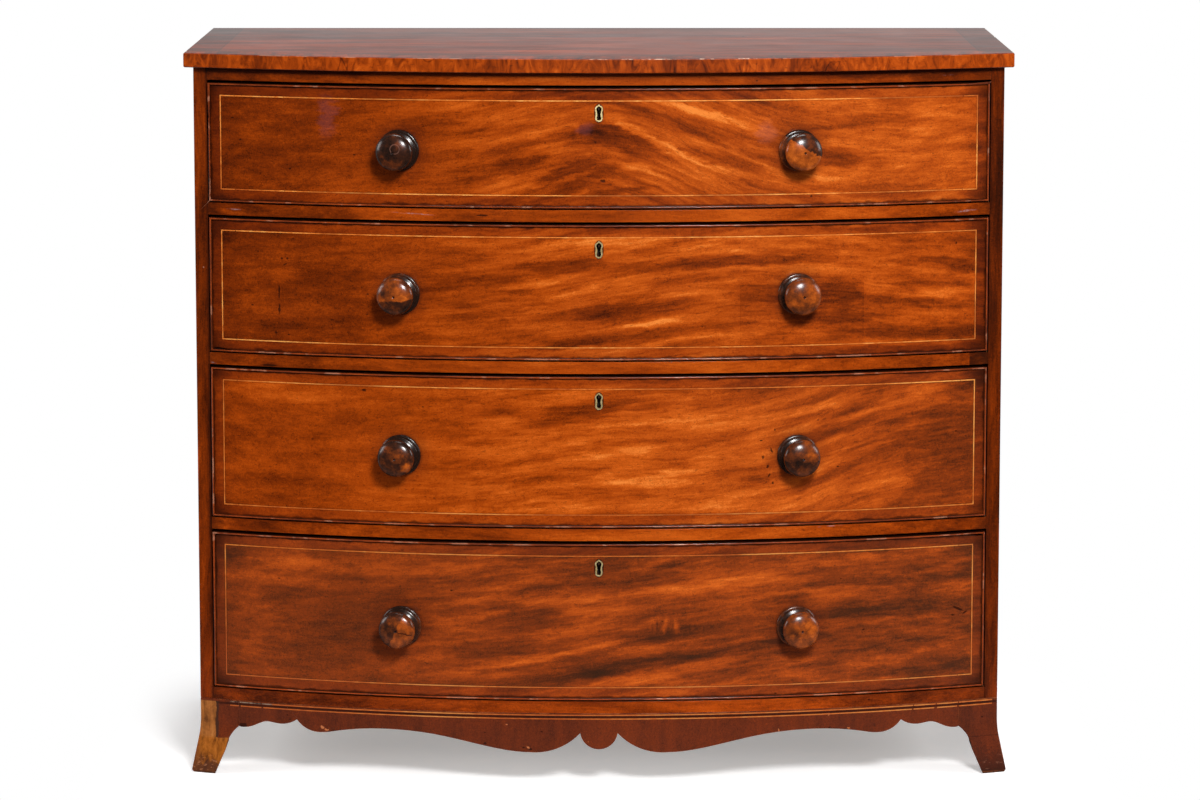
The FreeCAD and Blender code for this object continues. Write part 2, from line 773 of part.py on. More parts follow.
os.makedirs("parts", exist_ok=True)
make_carcase()
make_stand()
for drawer_number in range(1, len(drawer_heights) + 1):
    make_drawer(drawer_number)
print("chest %.1f high, origin %.2f behind the front corners" % (chest_height, middle_y))
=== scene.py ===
import math
from functools import reduce

import bmesh
import bpy
from mathutils import Matrix, Vector


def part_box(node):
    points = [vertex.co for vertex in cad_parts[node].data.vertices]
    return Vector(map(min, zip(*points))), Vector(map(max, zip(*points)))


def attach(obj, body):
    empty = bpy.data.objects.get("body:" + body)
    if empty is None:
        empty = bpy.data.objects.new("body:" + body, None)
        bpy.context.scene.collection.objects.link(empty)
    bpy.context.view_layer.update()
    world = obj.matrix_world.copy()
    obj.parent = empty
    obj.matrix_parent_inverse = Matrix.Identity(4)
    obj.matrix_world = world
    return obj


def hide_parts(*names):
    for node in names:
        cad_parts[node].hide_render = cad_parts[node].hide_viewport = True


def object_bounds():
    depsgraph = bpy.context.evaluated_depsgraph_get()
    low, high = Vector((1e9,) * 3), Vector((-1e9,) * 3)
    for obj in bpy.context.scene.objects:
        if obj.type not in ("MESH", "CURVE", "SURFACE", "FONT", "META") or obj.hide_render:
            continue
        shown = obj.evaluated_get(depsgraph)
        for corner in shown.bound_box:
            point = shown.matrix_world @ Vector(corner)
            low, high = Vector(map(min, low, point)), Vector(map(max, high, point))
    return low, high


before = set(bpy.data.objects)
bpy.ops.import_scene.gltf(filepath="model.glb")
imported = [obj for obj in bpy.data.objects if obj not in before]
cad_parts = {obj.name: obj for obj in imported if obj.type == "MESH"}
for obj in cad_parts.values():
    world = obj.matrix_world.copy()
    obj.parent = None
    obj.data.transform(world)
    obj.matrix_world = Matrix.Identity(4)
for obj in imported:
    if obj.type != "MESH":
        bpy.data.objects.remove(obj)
cad_low, cad_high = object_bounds()

# ---- sizes, in millimetres, taken from the frame -----------------------------------------------
# +X is right, -Y is the front, +Z is up, and the chest stands on z = 0. Blender's own unit is the
# metre: a size is multiplied by MM where it goes into a mesh, a place or a noise.
MM = 0.001


def node_box(node):
    """Lowest and highest corner of a CAD node."""
    return [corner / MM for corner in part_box(node)]


half_width, half_depth = cad_high.x / MM, cad_high.y / MM
bow_depth = 100                           # the middle of the front stands this far before its corners
half_carcase = node_box("right_side")[1].x
bow_front = node_box("base_rail")[0].y    # the furthest forward line of the bowed face
bow_radius = (half_carcase ** 2 + bow_depth ** 2) / (2 * bow_depth)
bow_centre = bow_front + bow_radius
back_y = node_box("top_board")[1].y
top_underside, top_height = (corner.z for corner in node_box("top_board"))
top_overhang = 12                         # before the bowed face
foot_height = node_box("apron")[1].z
veneer_thickness = 1.6
band_width = 44                           # of the top's cross-banding

# inlaid lines
string_width = 1.5
string_inset = 16.5                       # from the outside of the cockbead, all round
string_sizes = {"Line": string_width, "Thickness": 1.0, "Proud": 0.12,
                "Radius": bow_radius, "Centre": bow_centre}

# turned knobs
knob_place = 257.5
knob_heights = (834.6, 648.5, 437.4, 211.3)
knob_tilt = math.asin(knob_place / bow_radius)

sharp_angle = 32                          # degrees; flatter edges are shaded smooth


def bow_y(x):
    """y of the bowed face at x."""
    return bow_centre - math.sqrt(bow_radius ** 2 - x ** 2)


# ---- making meshes -----------------------------------------------------------------------------
def new_object(name, data):
    piece = bpy.data.objects.new(name, data)
    bpy.context.scene.collection.objects.link(piece)
    return piece


def finished(piece, body, material, replaced=()):
    """Let a piece ride on its body and stand for the nodes that it replaces."""
    piece.data.materials.clear()
    piece.data.materials.append(material)
    if replaced:
        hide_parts(*replaced)
    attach(piece, body)
    return piece


def as_mesh(shape, name):
    mesh = bpy.data.meshes.new(name)
    shape.to_mesh(mesh)
    shape.free()
    return mesh


def smooth(mesh, angle):
    """Shade the mesh smooth, apart from edges sharper than the angle."""
    mesh.shade_smooth()
    mesh.set_sharp_from_angle(angle=math.radians(angle))
    return mesh


def applied_mesh(piece):
    """The piece's mesh as its modifiers leave it."""
    graph = bpy.context.evaluated_depsgraph_get()
    return bpy.data.meshes.new_from_object(piece.evaluated_get(graph))


def eased_copy(node, name, ease, segments=2):
    """The CAD node again, with merged faces, its sharp edges a little rounded by wear."""
    shape = bmesh.new()
    shape.from_mesh(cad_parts[node].data)
    bmesh.ops.remove_doubles(shape, verts=shape.verts, dist=0.004 * MM)
    bmesh.ops.dissolve_limit(shape, angle_limit=math.radians(0.3),
                             verts=shape.verts, edges=shape.edges)
    piece = new_object(name, smooth(as_mesh(shape, name), sharp_angle))
    if ease:
        rounding = piece.modifiers.new("eased edges", "BEVEL")
        rounding.width = ease * MM
        rounding.segments = segments
        rounding.limit_method = "ANGLE"
        rounding.angle_limit = math.radians(sharp_angle)
        rounding.use_clamp_overlap = False
        rounding.harden_normals = True
    return piece


def bowed_copy(node, name, ease):
    """An eased copy whose bowed faces are shaded as one smooth curve."""
    square_on = 0.996           # cosine between a bowed face and the spoke through its middle
    same_length = 0.05 * MM     # most difference between its corners' distances from the bow's axis
    widest_half = math.radians(9)
    piece = eased_copy(node, name, ease)
    mesh = applied_mesh(piece)
    piece.modifiers.clear()
    piece.data = mesh
    outward = [Vector((v.co.x, v.co.y - bow_centre * MM, 0)) for v in mesh.vertices]
    normals = [corner.vector.copy() for corner in mesh.corner_normals]
    for face in mesh.polygons:
        spokes = [outward[index] for index in face.vertices]
        lengths = [spoke.length for spoke in spokes]
        middle = Vector((face.center.x, face.center.y - bow_centre * MM, 0)).normalized()
        facing = face.normal.dot(middle)
        half = max(spoke.normalized().angle(middle) for spoke in spokes)
        if abs(facing) > square_on and max(lengths) - min(lengths) < same_length and half < widest_half:
            for corner, spoke in zip(face.loop_indices, spokes):
                normals[corner] = spoke.normalized() * (1 if facing > 0 else -1)
    mesh.normals_split_custom_set(normals)
    return piece


def stand_in(node, name, body, material, ease, bowed=False, segments=2):
    """Put a finer copy in the place of a CAD node."""
    piece = bowed_copy(node, name, ease) if bowed else eased_copy(node, name, ease, segments)
    return finished(piece, body, material, [node])


def recolour(node, material):
    """Give a CAD node that stays as it is a better material."""
    for material_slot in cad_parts[node].material_slots:
        material_slot.material = material


def smooth_through(points, steps):
    """Points along a smooth line through the given (reach, radius) points."""
    line = []
    last = len(points) - 1
    for index in range(last):
        before, start = points[max(index - 1, 0)], points[index]
        end, after = points[index + 1], points[min(index + 2, last)]
        for t in (step / steps for step in range(steps)):
            line.append(tuple(
                0.5 * (2 * b + (c - a) * t + (2 * a - 5 * b + 4 * c - d) * t ** 2
                       + (3 * b - a - 3 * c + d) * t ** 3)
                for a, b, c, d in zip(before, start, end, after)))
    return [*line, points[last]]


def turned(name, profile, around=64):
    """Closed solid of revolution about -Y from (reach, radius) points; it starts and ends at 0."""
    shape = bmesh.new()
    turns = [2 * math.pi * k / around for k in range(around)]
    rings = [[shape.verts.new((radius * math.cos(turn), -reach, radius * math.sin(turn)))
              for turn in turns] for reach, radius in profile[1:-1]]
    start, end = (shape.verts.new((0, -reach, 0)) for reach, radius in (profile[0], profile[-1]))
    for k in range(around):
        n = (k + 1) % around
        shape.faces.new((start, rings[0][n], rings[0][k]))
        shape.faces.new((end, rings[-1][k], rings[-1][n]))
        for one, two in zip(rings, rings[1:]):
            shape.faces.new((one[k], one[n], two[n], two[k]))
    bmesh.ops.recalc_face_normals(shape, faces=shape.faces)
    return smooth(as_mesh(shape, name), 50)


# ---- making node trees -------------------------------------------------------------------------
def colour(red, green, blue):
    """A colour given as the usual 0 to 255 screen values."""
    shares = (value / 255 for value in (red, green, blue))
    return tuple(s / 12.92 if s <= 0.04045 else ((s + 0.055) / 1.055) ** 2.4 for s in shares)


class Nodes:
    """A node tree and short ways to fill it. A colour of three numbers is a screen colour."""

    def __init__(self, tree):
        self.tree = tree

    def add(self, kind, inputs=None, **settings):
        node = self.tree.nodes.new(kind)
        for key, value in settings.items():
            setattr(node, key, value)
        for key, value in (inputs or {}).items():
            self.put(node.inputs[key], value)
        return node

    def put(self, socket, value):
        if isinstance(value, bpy.types.NodeSocket):
            self.tree.links.new(value, socket)
        elif socket.type == "RGBA" and len(value) == 3:
            socket.default_value = (*colour(*value), 1.0)
        else:
            socket.default_value = value

    def math(self, operation, *values):
        return self.add("ShaderNodeMath", dict(enumerate(values)), operation=operation).outputs[0]

    def total(self, *values):
        return reduce(lambda one, two: self.math("ADD", one, two), values)

    def times(self, *values):
        return reduce(lambda one, two: self.math("MULTIPLY", one, two), values)

    def most(self, *values):
        return reduce(lambda one, two: self.math("MAXIMUM", one, two), values)

    def least(self, one, two):
        return self.math("MINIMUM", one, two)

    def less(self, one, two):
        return self.math("SUBTRACT", one, two)

    def away(self, value, middle=0.0):
        """How far the value lies from the middle, either way."""
        return self.math("ABSOLUTE", self.less(value, middle))

    def span(self, one, two):
        """Length of the line with these two legs."""
        return self.math("SQRT", self.total(self.times(one, one), self.times(two, two)))

    def swing(self, noise, amount):
        """Noise from 0 to 1 as a change of up to half the amount either way."""
        return self.math("MULTIPLY_ADD", noise, amount, -0.5 * amount)

    def rise(self, value, low, high, start=0.0, end=1.0):
        """start below low, end above high, and a smooth step between."""
        node = self.add("ShaderNodeMapRange", interpolation_type="SMOOTHSTEP")
        for socket, amount in zip(node.inputs, (value, low, high, start, end)):
            self.put(socket, amount)
        return node.outputs["Result"]

    def fall(self, value, low, high, start=1.0):
        """start below low, 0 above high."""
        return self.rise(value, low, high, start, 0.0)

    def within(self, value, low, high, soft):
        """1 between low and high, 0 outside, with soft edges."""
        return self.times(self.rise(value, low - soft, low + soft),
                          self.fall(value, high - soft, high + soft))

    def vector(self, x=0.0, y=0.0, z=0.0):
        return self.add("ShaderNodeCombineXYZ", {"X": x, "Y": y, "Z": z}).outputs[0]

    def parts(self, vector):
        return self.add("ShaderNodeSeparateXYZ", {"Vector": vector}).outputs

    def vectors(self, operation, *values):
        """Vector math, whose result is a number for a length and a dot product."""
        node = self.add("ShaderNodeVectorMath", dict(enumerate(values)), operation=operation)
        return node.outputs[1 if operation in ("LENGTH", "DOT_PRODUCT") else 0]


class Finish(Nodes):
    """A material. Patterns read Object coordinates; x, y and z are these in millimetres."""

    def __init__(self, name):
        self.material = bpy.data.materials.new(name)
        self.material.use_nodes = True
        super().__init__(self.material.node_tree)
        self.tree.nodes.clear()
        self.place = self.add("ShaderNodeTexCoord").outputs["Object"]
        self.x, self.y, self.z = self.in_mm(self.place)

    def in_mm(self, vector):
        return self.parts(self.vectors("MULTIPLY", vector, (1 / MM, 1 / MM, 1 / MM)))

    def moved(self, scale=(1, 1, 1), shift=(0, 0, 0), turn=(0, 0, 0), source=None):
        node = self.add("ShaderNodeMapping", {"Vector": source or self.place, "Scale": scale,
                                              "Location": shift, "Rotation": turn})
        return node.outputs["Vector"]

    def noise(self, vector, scale, detail=2.0, rough=0.5, distortion=0.0, output="Fac"):
        node = self.add("ShaderNodeTexNoise", {"Vector": vector, "Scale": scale, "Detail": detail,
                                               "Roughness": rough, "Distortion": distortion})
        return node.outputs[output]

    def drift(self, vector, scale, reach, detail=3.0, rough=0.5):
        """A noisy vector of up to reach, in metres, either way along each axis."""
        cloud = self.noise(vector, scale, detail, rough, output="Color")
        centred = self.vectors("SUBTRACT", cloud, (0.5, 0.5, 0.5))
        return self.vectors("MULTIPLY", centred, tuple(2 * k for k in reach))

    def frayed(self, source, scale, reach):
        """The source, shaken by up to reach either way, so that marks get ragged edges."""
        return self.vectors("ADD", source, self.drift(source, scale, (reach * MM, 0, reach * MM)))

    def spots(self, vector, scale, size, share):
        """Small scattered marks: size is their radius in cells, share how many cells have one."""
        cell = self.add("ShaderNodeTexVoronoi", {"Vector": vector, "Scale": scale}).outputs
        chance = self.add("ShaderNodeSeparateColor", {"Color": cell["Color"]}).outputs[0]
        return self.times(self.fall(cell["Distance"], size * 0.6, size),
                          self.math("LESS_THAN", chance, share))

    def dents(self, scale=26.0, size=0.055, share=0.30):
        """Knocks and old worm holes of one or two millimetres."""
        return self.spots(self.moved((1, 0.25, 1.6)), scale, size, share)

    def oval(self, x, z, half_length, half_height, slope=0.0, soft=0.75, strength=1.0, source=None):
        """An oval seen from the front; slope is how far its length rises to the right, in degrees."""
        local = self.add("ShaderNodeMapping",
                         {"Vector": source or self.place, "Location": (x * MM, 0, z * MM),
                          "Rotation": (0, -math.radians(slope), 0),
                          "Scale": (half_length * MM, 1000.0, half_height * MM)},
                         vector_type="TEXTURE").outputs[0]
        return self.fall(self.vectors("LENGTH", local), 1.1 - soft, 1.1, strength)

    def behind_bow(self, proud=0.0):
        """How far a point lies behind the bowed face, measured square to it."""
        reach = self.span(self.x, self.less(self.y, bow_centre))
        return self.less(bow_radius + proud, reach)

    def arris(self):
        """1 on the narrow rounded edges, which face between the directions of the flat faces."""
        normal = self.add("ShaderNodeNewGeometry").outputs["True Normal"]
        spoke = self.vectors("NORMALIZE", self.vector(self.x, self.less(self.y, bow_centre)))
        along = self.vectors("DOT_PRODUCT", normal, spoke)
        straight = self.most(*(self.away(part) for part in (along, *self.parts(normal))))
        return self.fall(straight, 0.93, 0.96)

    def ramp(self, value, *stops):
        """Colour for a value, from stops of a position and a screen colour."""
        node = self.add("ShaderNodeValToRGB", {"Fac": value})
        line = node.color_ramp
        while len(line.elements) < len(stops):
            line.elements.new(0.5)
        for element, (position, *shade) in zip(line.elements, stops):
            element.position = position
            element.color = (*colour(*shade), 1.0)
        return node.outputs["Color"]

    def blend(self, amount, first, second):
        node = self.add("ShaderNodeMix", {"Factor": amount, 6: first, 7: second}, data_type="RGBA")
        return node.outputs[2]

    def covered(self, shade, *layers):
        """The shade under layers of (amount, tint), with the last one on top."""
        for amount, tint in layers:
            shade = self.blend(amount, shade, tint)
        return shade

    def bump(self, height, strength, distance):
        node = self.add("ShaderNodeBump", {"Height": height, "Strength": strength,
                                           "Distance": distance * MM})
        return node.outputs["Normal"]

    def output(self, shader):
        """End the tree with this shader and return the material."""
        self.add("ShaderNodeOutputMaterial", {"Surface": shader})
        return self.material

    def surface(self, **inputs):
        """End the tree with one Principled shader."""
        names = {"colour": "Base Color", "roughness": "Roughness", "metallic": "Metallic",
                 "normal": "Normal", "coat": "Coat Weight", "coat_roughness": "Coat Roughness",
                 "specular": "Specular IOR Level"}
        shader = self.add("ShaderNodeBsdfPrincipled",
                          {names[key]: value for key, value in inputs.items()})
        return self.output(shader.outputs["BSDF"])


# ---- mahogany ----------------------------------------------------------------------------------
# Tones run from 0 in the darkest streaks to 1 in the palest ones. Turned knobs are browner.
MAHOGANY = ((0.00, 26, 8, 2), (0.20, 70, 22, 2), (0.40, 120, 43, 2),
            (0.60, 168, 67, 6), (0.80, 204, 93, 20), (1.00, 236, 132, 52))
TURNED = ((0.00, 20, 8, 4), (0.20, 54, 24, 10), (0.40, 108, 47, 12),
          (0.60, 160, 72, 14), (0.80, 204, 100, 26), (1.00, 230, 140, 62))
PORES, GRIME_AND_SHADE, DENTS = (44, 14, 4), (24, 8, 4), (22, 8, 4)


def scaled(along, across, lengthways=1):
    """Three numbers for x, y and z, with another one on the axis that the grain runs along."""
    return tuple(lengthways if axis == along else across for axis in "xyz")


def grain(f, along, seed, contrast=1.0, curl=0.42, source=None):
    """Tone of plain sawn wood, round nought, and its open pores from 0 to 1."""
    wander = f.drift(f.moved(shift=(seed, seed * 2, seed * 3)), 3.2,
                     scaled(along, 22 * MM, 6.6 * MM))
    bent = f.vectors("ADD", source or f.place, wander)

    def drawn_out(across, *shifts):
        return f.moved(scaled(along, across), tuple(seed * k for k in shifts), source=bent)

    long = drawn_out(9, 5, 7, 1)
    tone = f.total(f.swing(f.noise(long, 2.4, 3.0, 0.55), 0.75 * contrast),
                   f.swing(f.noise(long, 10.0, 4.0, 0.62), 0.70 * contrast),
                   f.swing(f.noise(drawn_out(18, 1, 3, 4), 26.0, 4.0, 0.7), 0.42 * contrast),
                   f.swing(f.noise(f.place, 230.0, 3.0, 0.68, 2.4), curl))
    return tone, f.rise(f.noise(drawn_out(6, 2, 1, 6), 125.0, 1.5, 0.55), 0.63, 0.73)


def polish(f, tone, pores, grime_and_shade, dents, gloss=0.34, coat=0.15, coat_roughness=0.16,
           specular=0.08, bloom=(), palette=MAHOGANY, bare=()):
    """Old french polish over wood of the given tone; bloom and bare are layers of a tint."""
    # the grime layer carries dirt, and on the rails and cockbead painted shade too; the bloom layers
    # carry wax, tints and wear, and on some pieces painted sheen, highlights, reflections and shade
    shade = f.covered(f.ramp(tone, *palette), (f.times(pores, 0.5), PORES), *bloom,
                      (grime_and_shade, GRIME_AND_SHADE), (f.times(dents, 0.8), DENTS), *bare)
    rough = f.total(f.swing(f.noise(f.place, 14.0, 3.0, 0.6), 0.16), gloss)
    height = f.total(f.times(pores, -0.5), f.times(dents, -1.5))
    return f.surface(colour=shade, roughness=rough, coat=coat, coat_roughness=coat_roughness,
                     specular=specular, normal=f.bump(height, 0.25, 0.25))


def groundwork(f, dark, pale):
    """The plain wood behind the veneer, as a layer for polish."""
    inside = f.rise(f.behind_bow(), veneer_thickness, veneer_thickness + 0.2)
    wood = f.noise(f.moved((1, 10, 10)), 9.0, 4.0)
    return inside, f.ramp(wood, (0.3, *dark), (0.7, *pale))


# ---- mahogany pieces ---------------------------------------------------------------------------
# The figure of each drawer front, with heights above the drawer's lower edge.
# tones: of the left end, the middle and the right end, partly the veneer's own tone and partly painted
# shade at the ends, where the bow turns from the lamps
# clouds: x, height, half length, half height, slope in degrees, strength (dark below nought)
# marks: x, height, half length, half height, slope; small dark knocks, pins and scratches
# leaves: left, right, bottom, top, strength; let-in pieces of veneer
# calm: how much of the figure's liveliness is left at the left end
# haze: old wax at the left and at the right, as a share of the colour
# flow: x, height; a line that the grain follows from end to end
# curls: x, height, half length, half height, strength; short upright ripples
# bloom: x, height, half length, half height, strength, tint; painted reflections of the lamps
FIGURES = {
    1: dict(
        tones=(0.42, 0.60, 0.68), calm=0.35, haze=(0.0, 0.02),
        flow=((-500, -50), (-300, -40), (-180, -28), (-60, -4), (0, 4), (50, -4),
              (130, -38), (240, -76), (330, -88), (500, -84)),
        clouds=((-418, 102, 25, 8, 4, -0.06), (-214, 113, 34, 22, 10, -0.12),
                (-135, 102, 55, 9, 6, -0.12), (-97, 64, 40, 12, 14, -0.24),
                (-31, 52, 40, 10, 20, -0.24), (-32, 30, 36, 9, 22, -0.22),
                (-12, 95, 36, 17, 0, -0.26), (36, 90, 50, 18, -24, -0.26),
                (104, 108, 56, 12, -20, -0.18), (17, 53, 15, 8, 8, -0.22),
                (30, 23, 38, 5, 4, -0.22), (160, 61, 46, 11, -16, -0.20),
                (314, 65, 28, 14, -10, -0.28), (347, 105, 80, 4, 3, -0.18),
                (78, 88, 80, 7, -29, 0.24), (146, 120, 84, 6, -17, 0.20),
                (78, 43, 51, 14, -14, 0.12), (-63, 78, 64, 10, 8, 0.14),
                (346, 121, 62, 8, 3, 0.12), (-179, 26, 60, 10, 4, 0.08),
                (250, 40, 90, 10, -4, 0.08), (-340, 50, 110, 12, 5, -0.06),
                (0, 147, 130, 6, 0, -0.26), (300, 8, 120, 6, 0, 0.12),
                (130, 77, 140, 90, 0, 0.03)),
        marks=((5, 36, 4, 2, 0), (-476, 110, 2, 1, 0), (-466, 82, 2.4, 1, 20),
               (-400, 46, 1.6, 1, 0), (-316, 66, 2, 1, 0)),
        leaves=(), curls=((-20, 100, 26, 20, 0.10),),
        # painted reflections of the lamps on drawer 1
        bloom=((-350, 117, 16, 34, 0.22, (112, 66, 78)),
               (220, 98, 18, 18, 0.16, (186, 116, 100)),
               (-8, 104, 14, 10, 0.18, (120, 72, 84)))),
    2: dict(
        tones=(0.40, 0.63, 0.54), calm=0.40, haze=(0.0, 0.01),
        flow=((-500, -10), (-250, 0), (-100, 14), (0, 28), (120, 42), (220, 47), (320, 45),
              (500, 36)),
        clouds=((-46, 123, 60, 9, 4, -0.24), (-147, 101, 56, 9, 6, -0.22),
                (-174, 54, 34, 6, 6, -0.18), (-27, 25, 60, 9, 12, -0.24),
                (-9, 62, 60, 9, 6, -0.18), (-40, 148, 52, 12, 4, 0.16),
                (-37, 96, 42, 17, 4, 0.16), (-63, 13, 65, 3, 6, 0.12),
                (169, 125, 130, 8, 1, -0.24), (211, 81, 36, 15, 0, -0.16),
                (314, 84, 30, 22, -4, -0.20), (56, 64, 70, 14, 8, -0.26),
                (57, 32, 90, 9, 7, -0.24), (72, 48, 66, 4, 7, 0.20),
                (116, 82, 66, 6, 2, 0.16), (413, 30, 80, 10, -3, -0.26),
                (390, 86, 100, 10, -4, 0.16), (221, 151, 169, 9, 1, 0.08),
                (75, 169, 80, 8, 0, -0.12), (-336, 101, 53, 27, 0, -0.07),
                (380, 8, 70, 7, 0, -0.26), (120, 88, 140, 100, 0, 0.03)),
        marks=((-412, 126, 1.8, 1.6, 0), (-405, 126, 1.6, 1.6, 0), (-408, 118, 3, 1, 30),
               (-416, 82, 1.1, 10, 0), (-416, 60, 1.5, 7, 0), (-420, 28, 2, 1.2, 0),
               (-404, 26, 2, 1, 0), (466, 144, 1.6, 1.6, 0)),
        leaves=((183, 343, 16, 96, -0.06),), curls=((115, 160, 44, 12, 0.10),),
        bloom=()),
    3: dict(
        tones=(0.50, 0.66, 0.53), calm=0.35, haze=(0.0, 0.03),
        flow=((-500, 0), (-200, 4), (-50, 18), (100, 26), (230, 42), (330, 70), (420, 90),
              (500, 96)),
        clouds=((-396, 166, 64, 18, -4, 0.16), (-294, 134, 40, 18, 0, -0.10),
                (-198, 126, 34, 22, 0, -0.18), (-44, 145, 46, 16, 8, -0.24),
                (-409, 54, 52, 14, 0, -0.10), (282, 154, 50, 6, 15, 0.18),
                (310, 138, 56, 6, 17, 0.18), (450, 92, 50, 74, 0, -0.20),
                (212, 180, 40, 6, 0, -0.18), (63, 136, 72, 5, 4, 0.12),
                (105, 62, 110, 13, 3, 0.08), (363, 176, 40, 10, 14, -0.16),
                (105, 117, 56, 8, 4, -0.12), (-76, 28, 84, 8, 4, 0.10),
                (170, 163, 44, 10, 10, -0.14), (-330, 86, 120, 9, 3, -0.06),
                (60, 190, 220, 6, 0, -0.10), (120, 99, 140, 110, 0, 0.04)),
        marks=((-305, 176, 3.4, 1.8, 0), (228, 126, 1.4, 1.4, 0), (224, 99, 1.2, 4, 20),
               (213, 90, 1.4, 3, 0), (219, 78, 1.4, 2.4, -20), (221, 66, 1.6, 3.4, -30),
               (226, 56, 1.6, 2, 0), (210, 112, 2.4, 1, 10)),
        leaves=(), curls=(), bloom=()),
    4: dict(
        tones=(0.40, 0.46, 0.37), calm=0.50, haze=(0.045, 0.05),
        flow=((-500, -4), (-250, 0), (-140, 8), (0, 28), (160, 50), (300, 60), (500, 66)),
        clouds=((-425, 160, 67, 26, 0, 0.14), (-338, 77, 52, 57, 0, -0.10),
                (-96, 110, 46, 8, 9, -0.28), (-139, 69, 52, 14, 9, -0.20),
                (-50, 31, 76, 12, 10, -0.24), (58, 49, 92, 14, 7, -0.28),
                (111, 91, 76, 11, 7, -0.26), (96, 147, 116, 8, 7, 0.22),
                (99, 116, 104, 8, 6, 0.16), (400, 110, 70, 12, 2, -0.22),
                (430, 28, 80, 12, 3, -0.20), (184, 67, 84, 9, 7, -0.20),
                (-96, 54, 104, 6, 11, 0.22), (-129, 133, 84, 9, 7, 0.16),
                (164, 123, 50, 8, 8, -0.16), (307, 109, 40, 9, 4, -0.22),
                (1, 172, 52, 13, 6, -0.10), (145, 36, 124, 8, 5, 0.14),
                (262, 168, 84, 13, 7, 0.10), (-250, 170, 90, 10, 3, 0.08),
                (370, 199, 80, 7, 0, -0.14), (370, 8, 80, 7, 0, -0.14)),
        marks=((473, 106, 9, 1.6, -24), (482, 100, 4, 1.4, 40), (466, 98, 3, 1.2, 0),
               (-420, 150, 2, 1, 0)),
        leaves=((51, 98, 176, 190, -0.05),), curls=((97, 98, 34, 14, 0.22),),
        bloom=()),
}


def flowing(f, points):
    """The place on a drawer front, with its height measured from the line of the grain."""
    reach, height = 550, 120
    curve = f.add("ShaderNodeFloatCurve",
                  {"Value": f.math("MULTIPLY_ADD", f.x, 0.5 / reach, 0.5)})
    line = curve.mapping.curves[0]
    while len(line.points) < len(points):
        line.points.new(0.5, 0.5)
    for spot, (x, up) in zip(line.points, points):
        spot.location = (0.5 + 0.5 * x / reach, 0.5 + 0.5 * up / height)
    curve.mapping.update()
    drop = f.swing(curve.outputs[0], 2 * height * MM)
    return f.vectors("SUBTRACT", f.place, f.vector(z=drop))


def oblong(f, left, right, low, high, soft):
    """1 inside an upright rectangle seen from the front, 0 outside."""
    return f.times(f.within(f.x, left, right, soft), f.within(f.z, low, high, soft))


def figured(f, number, bottom, flow):
    """Tone of the figure on a drawer front, its small dark marks, and its hazy places."""
    figure = FIGURES[number]
    swirl_reach, feather_reach = Vector((60, 0, 18)) * MM, Vector((50, 0, 9)) * MM
    swirl = f.noise(f.moved(shift=(number * 1.7, 0, 0)), 5.0, 2.0, output="Color")
    feather = f.noise(f.moved((1, 1, 3.4), (number, 0, 0)), 34.0, 4.0, 0.65, output="Color")
    sway = f.vectors("MULTIPLY", swirl, swirl_reach)
    fray = f.vectors("MULTIPLY", feather, feather_reach)

    def warped_from(source):
        return f.vectors("ADD", f.vectors("ADD", source, sway), fray)

    warped = f.moved(shift=-(swirl_reach + feather_reach) / 2, source=warped_from(f.place))
    long = warped_from(flow)
    clouds = [f.oval(x, bottom + up, half_length * 1.5, half_height * 1.15, slope,
                     strength=strength, source=warped)
              for x, up, half_length, half_height, slope, strength in figure["clouds"]]
    plumes = f.noise(f.moved((0.5, 1, 3.6), (number * 3, 0, number), source=long), 20.0, 3.0, 0.55)
    fine_plumes = f.noise(f.moved((0.5, 1, 4.5), (number * 5, 0, number), source=long),
                          52.0, 3.0, 0.6)
    lively = f.rise(f.x, -320, -80, figure["calm"], 1.0)
    tones = [f.times(f.total(*clouds), f.rise(plumes, 0.36, 0.62, 0.45, 1.05)),
             f.times(lively, f.swing(plumes, 0.78)),
             f.times(lively, f.swing(fine_plumes, 0.44))]
    for x, up, half_length, half_height, strength in figure["curls"]:
        there = f.oval(x, bottom + up, half_length, half_height, source=warped)
        ticks = f.noise(f.moved((1, 1, 0.22)), 120.0, 2.0, 0.6)
        tones.append(f.times(there, f.swing(ticks, strength * 4)))
    joint = 0.6
    for left, right, base, top, strength in figure["leaves"]:
        inside = oblong(f, left, right, bottom + base, bottom + top, joint)
        round_it = oblong(f, left - joint, right + joint, bottom + base - joint,
                          bottom + top + joint, joint / 2)
        tones += [f.times(inside, strength), f.times(f.less(round_it, inside), -0.12)]
    shaken = f.frayed(f.place, 260.0, 1.6)
    marks = f.most(*(f.oval(x, bottom + up, half_length, half_height, slope, soft=0.4, source=shaken)
                     for x, up, half_length, half_height, slope in figure["marks"]))
    # painted reflections of the lamps
    haze = [(f.oval(x, bottom + up, half_length, half_height, strength=strength, source=warped), tint)
            for x, up, half_length, half_height, strength, tint in figure["bloom"]]
    return f.total(*tones), marks, haze


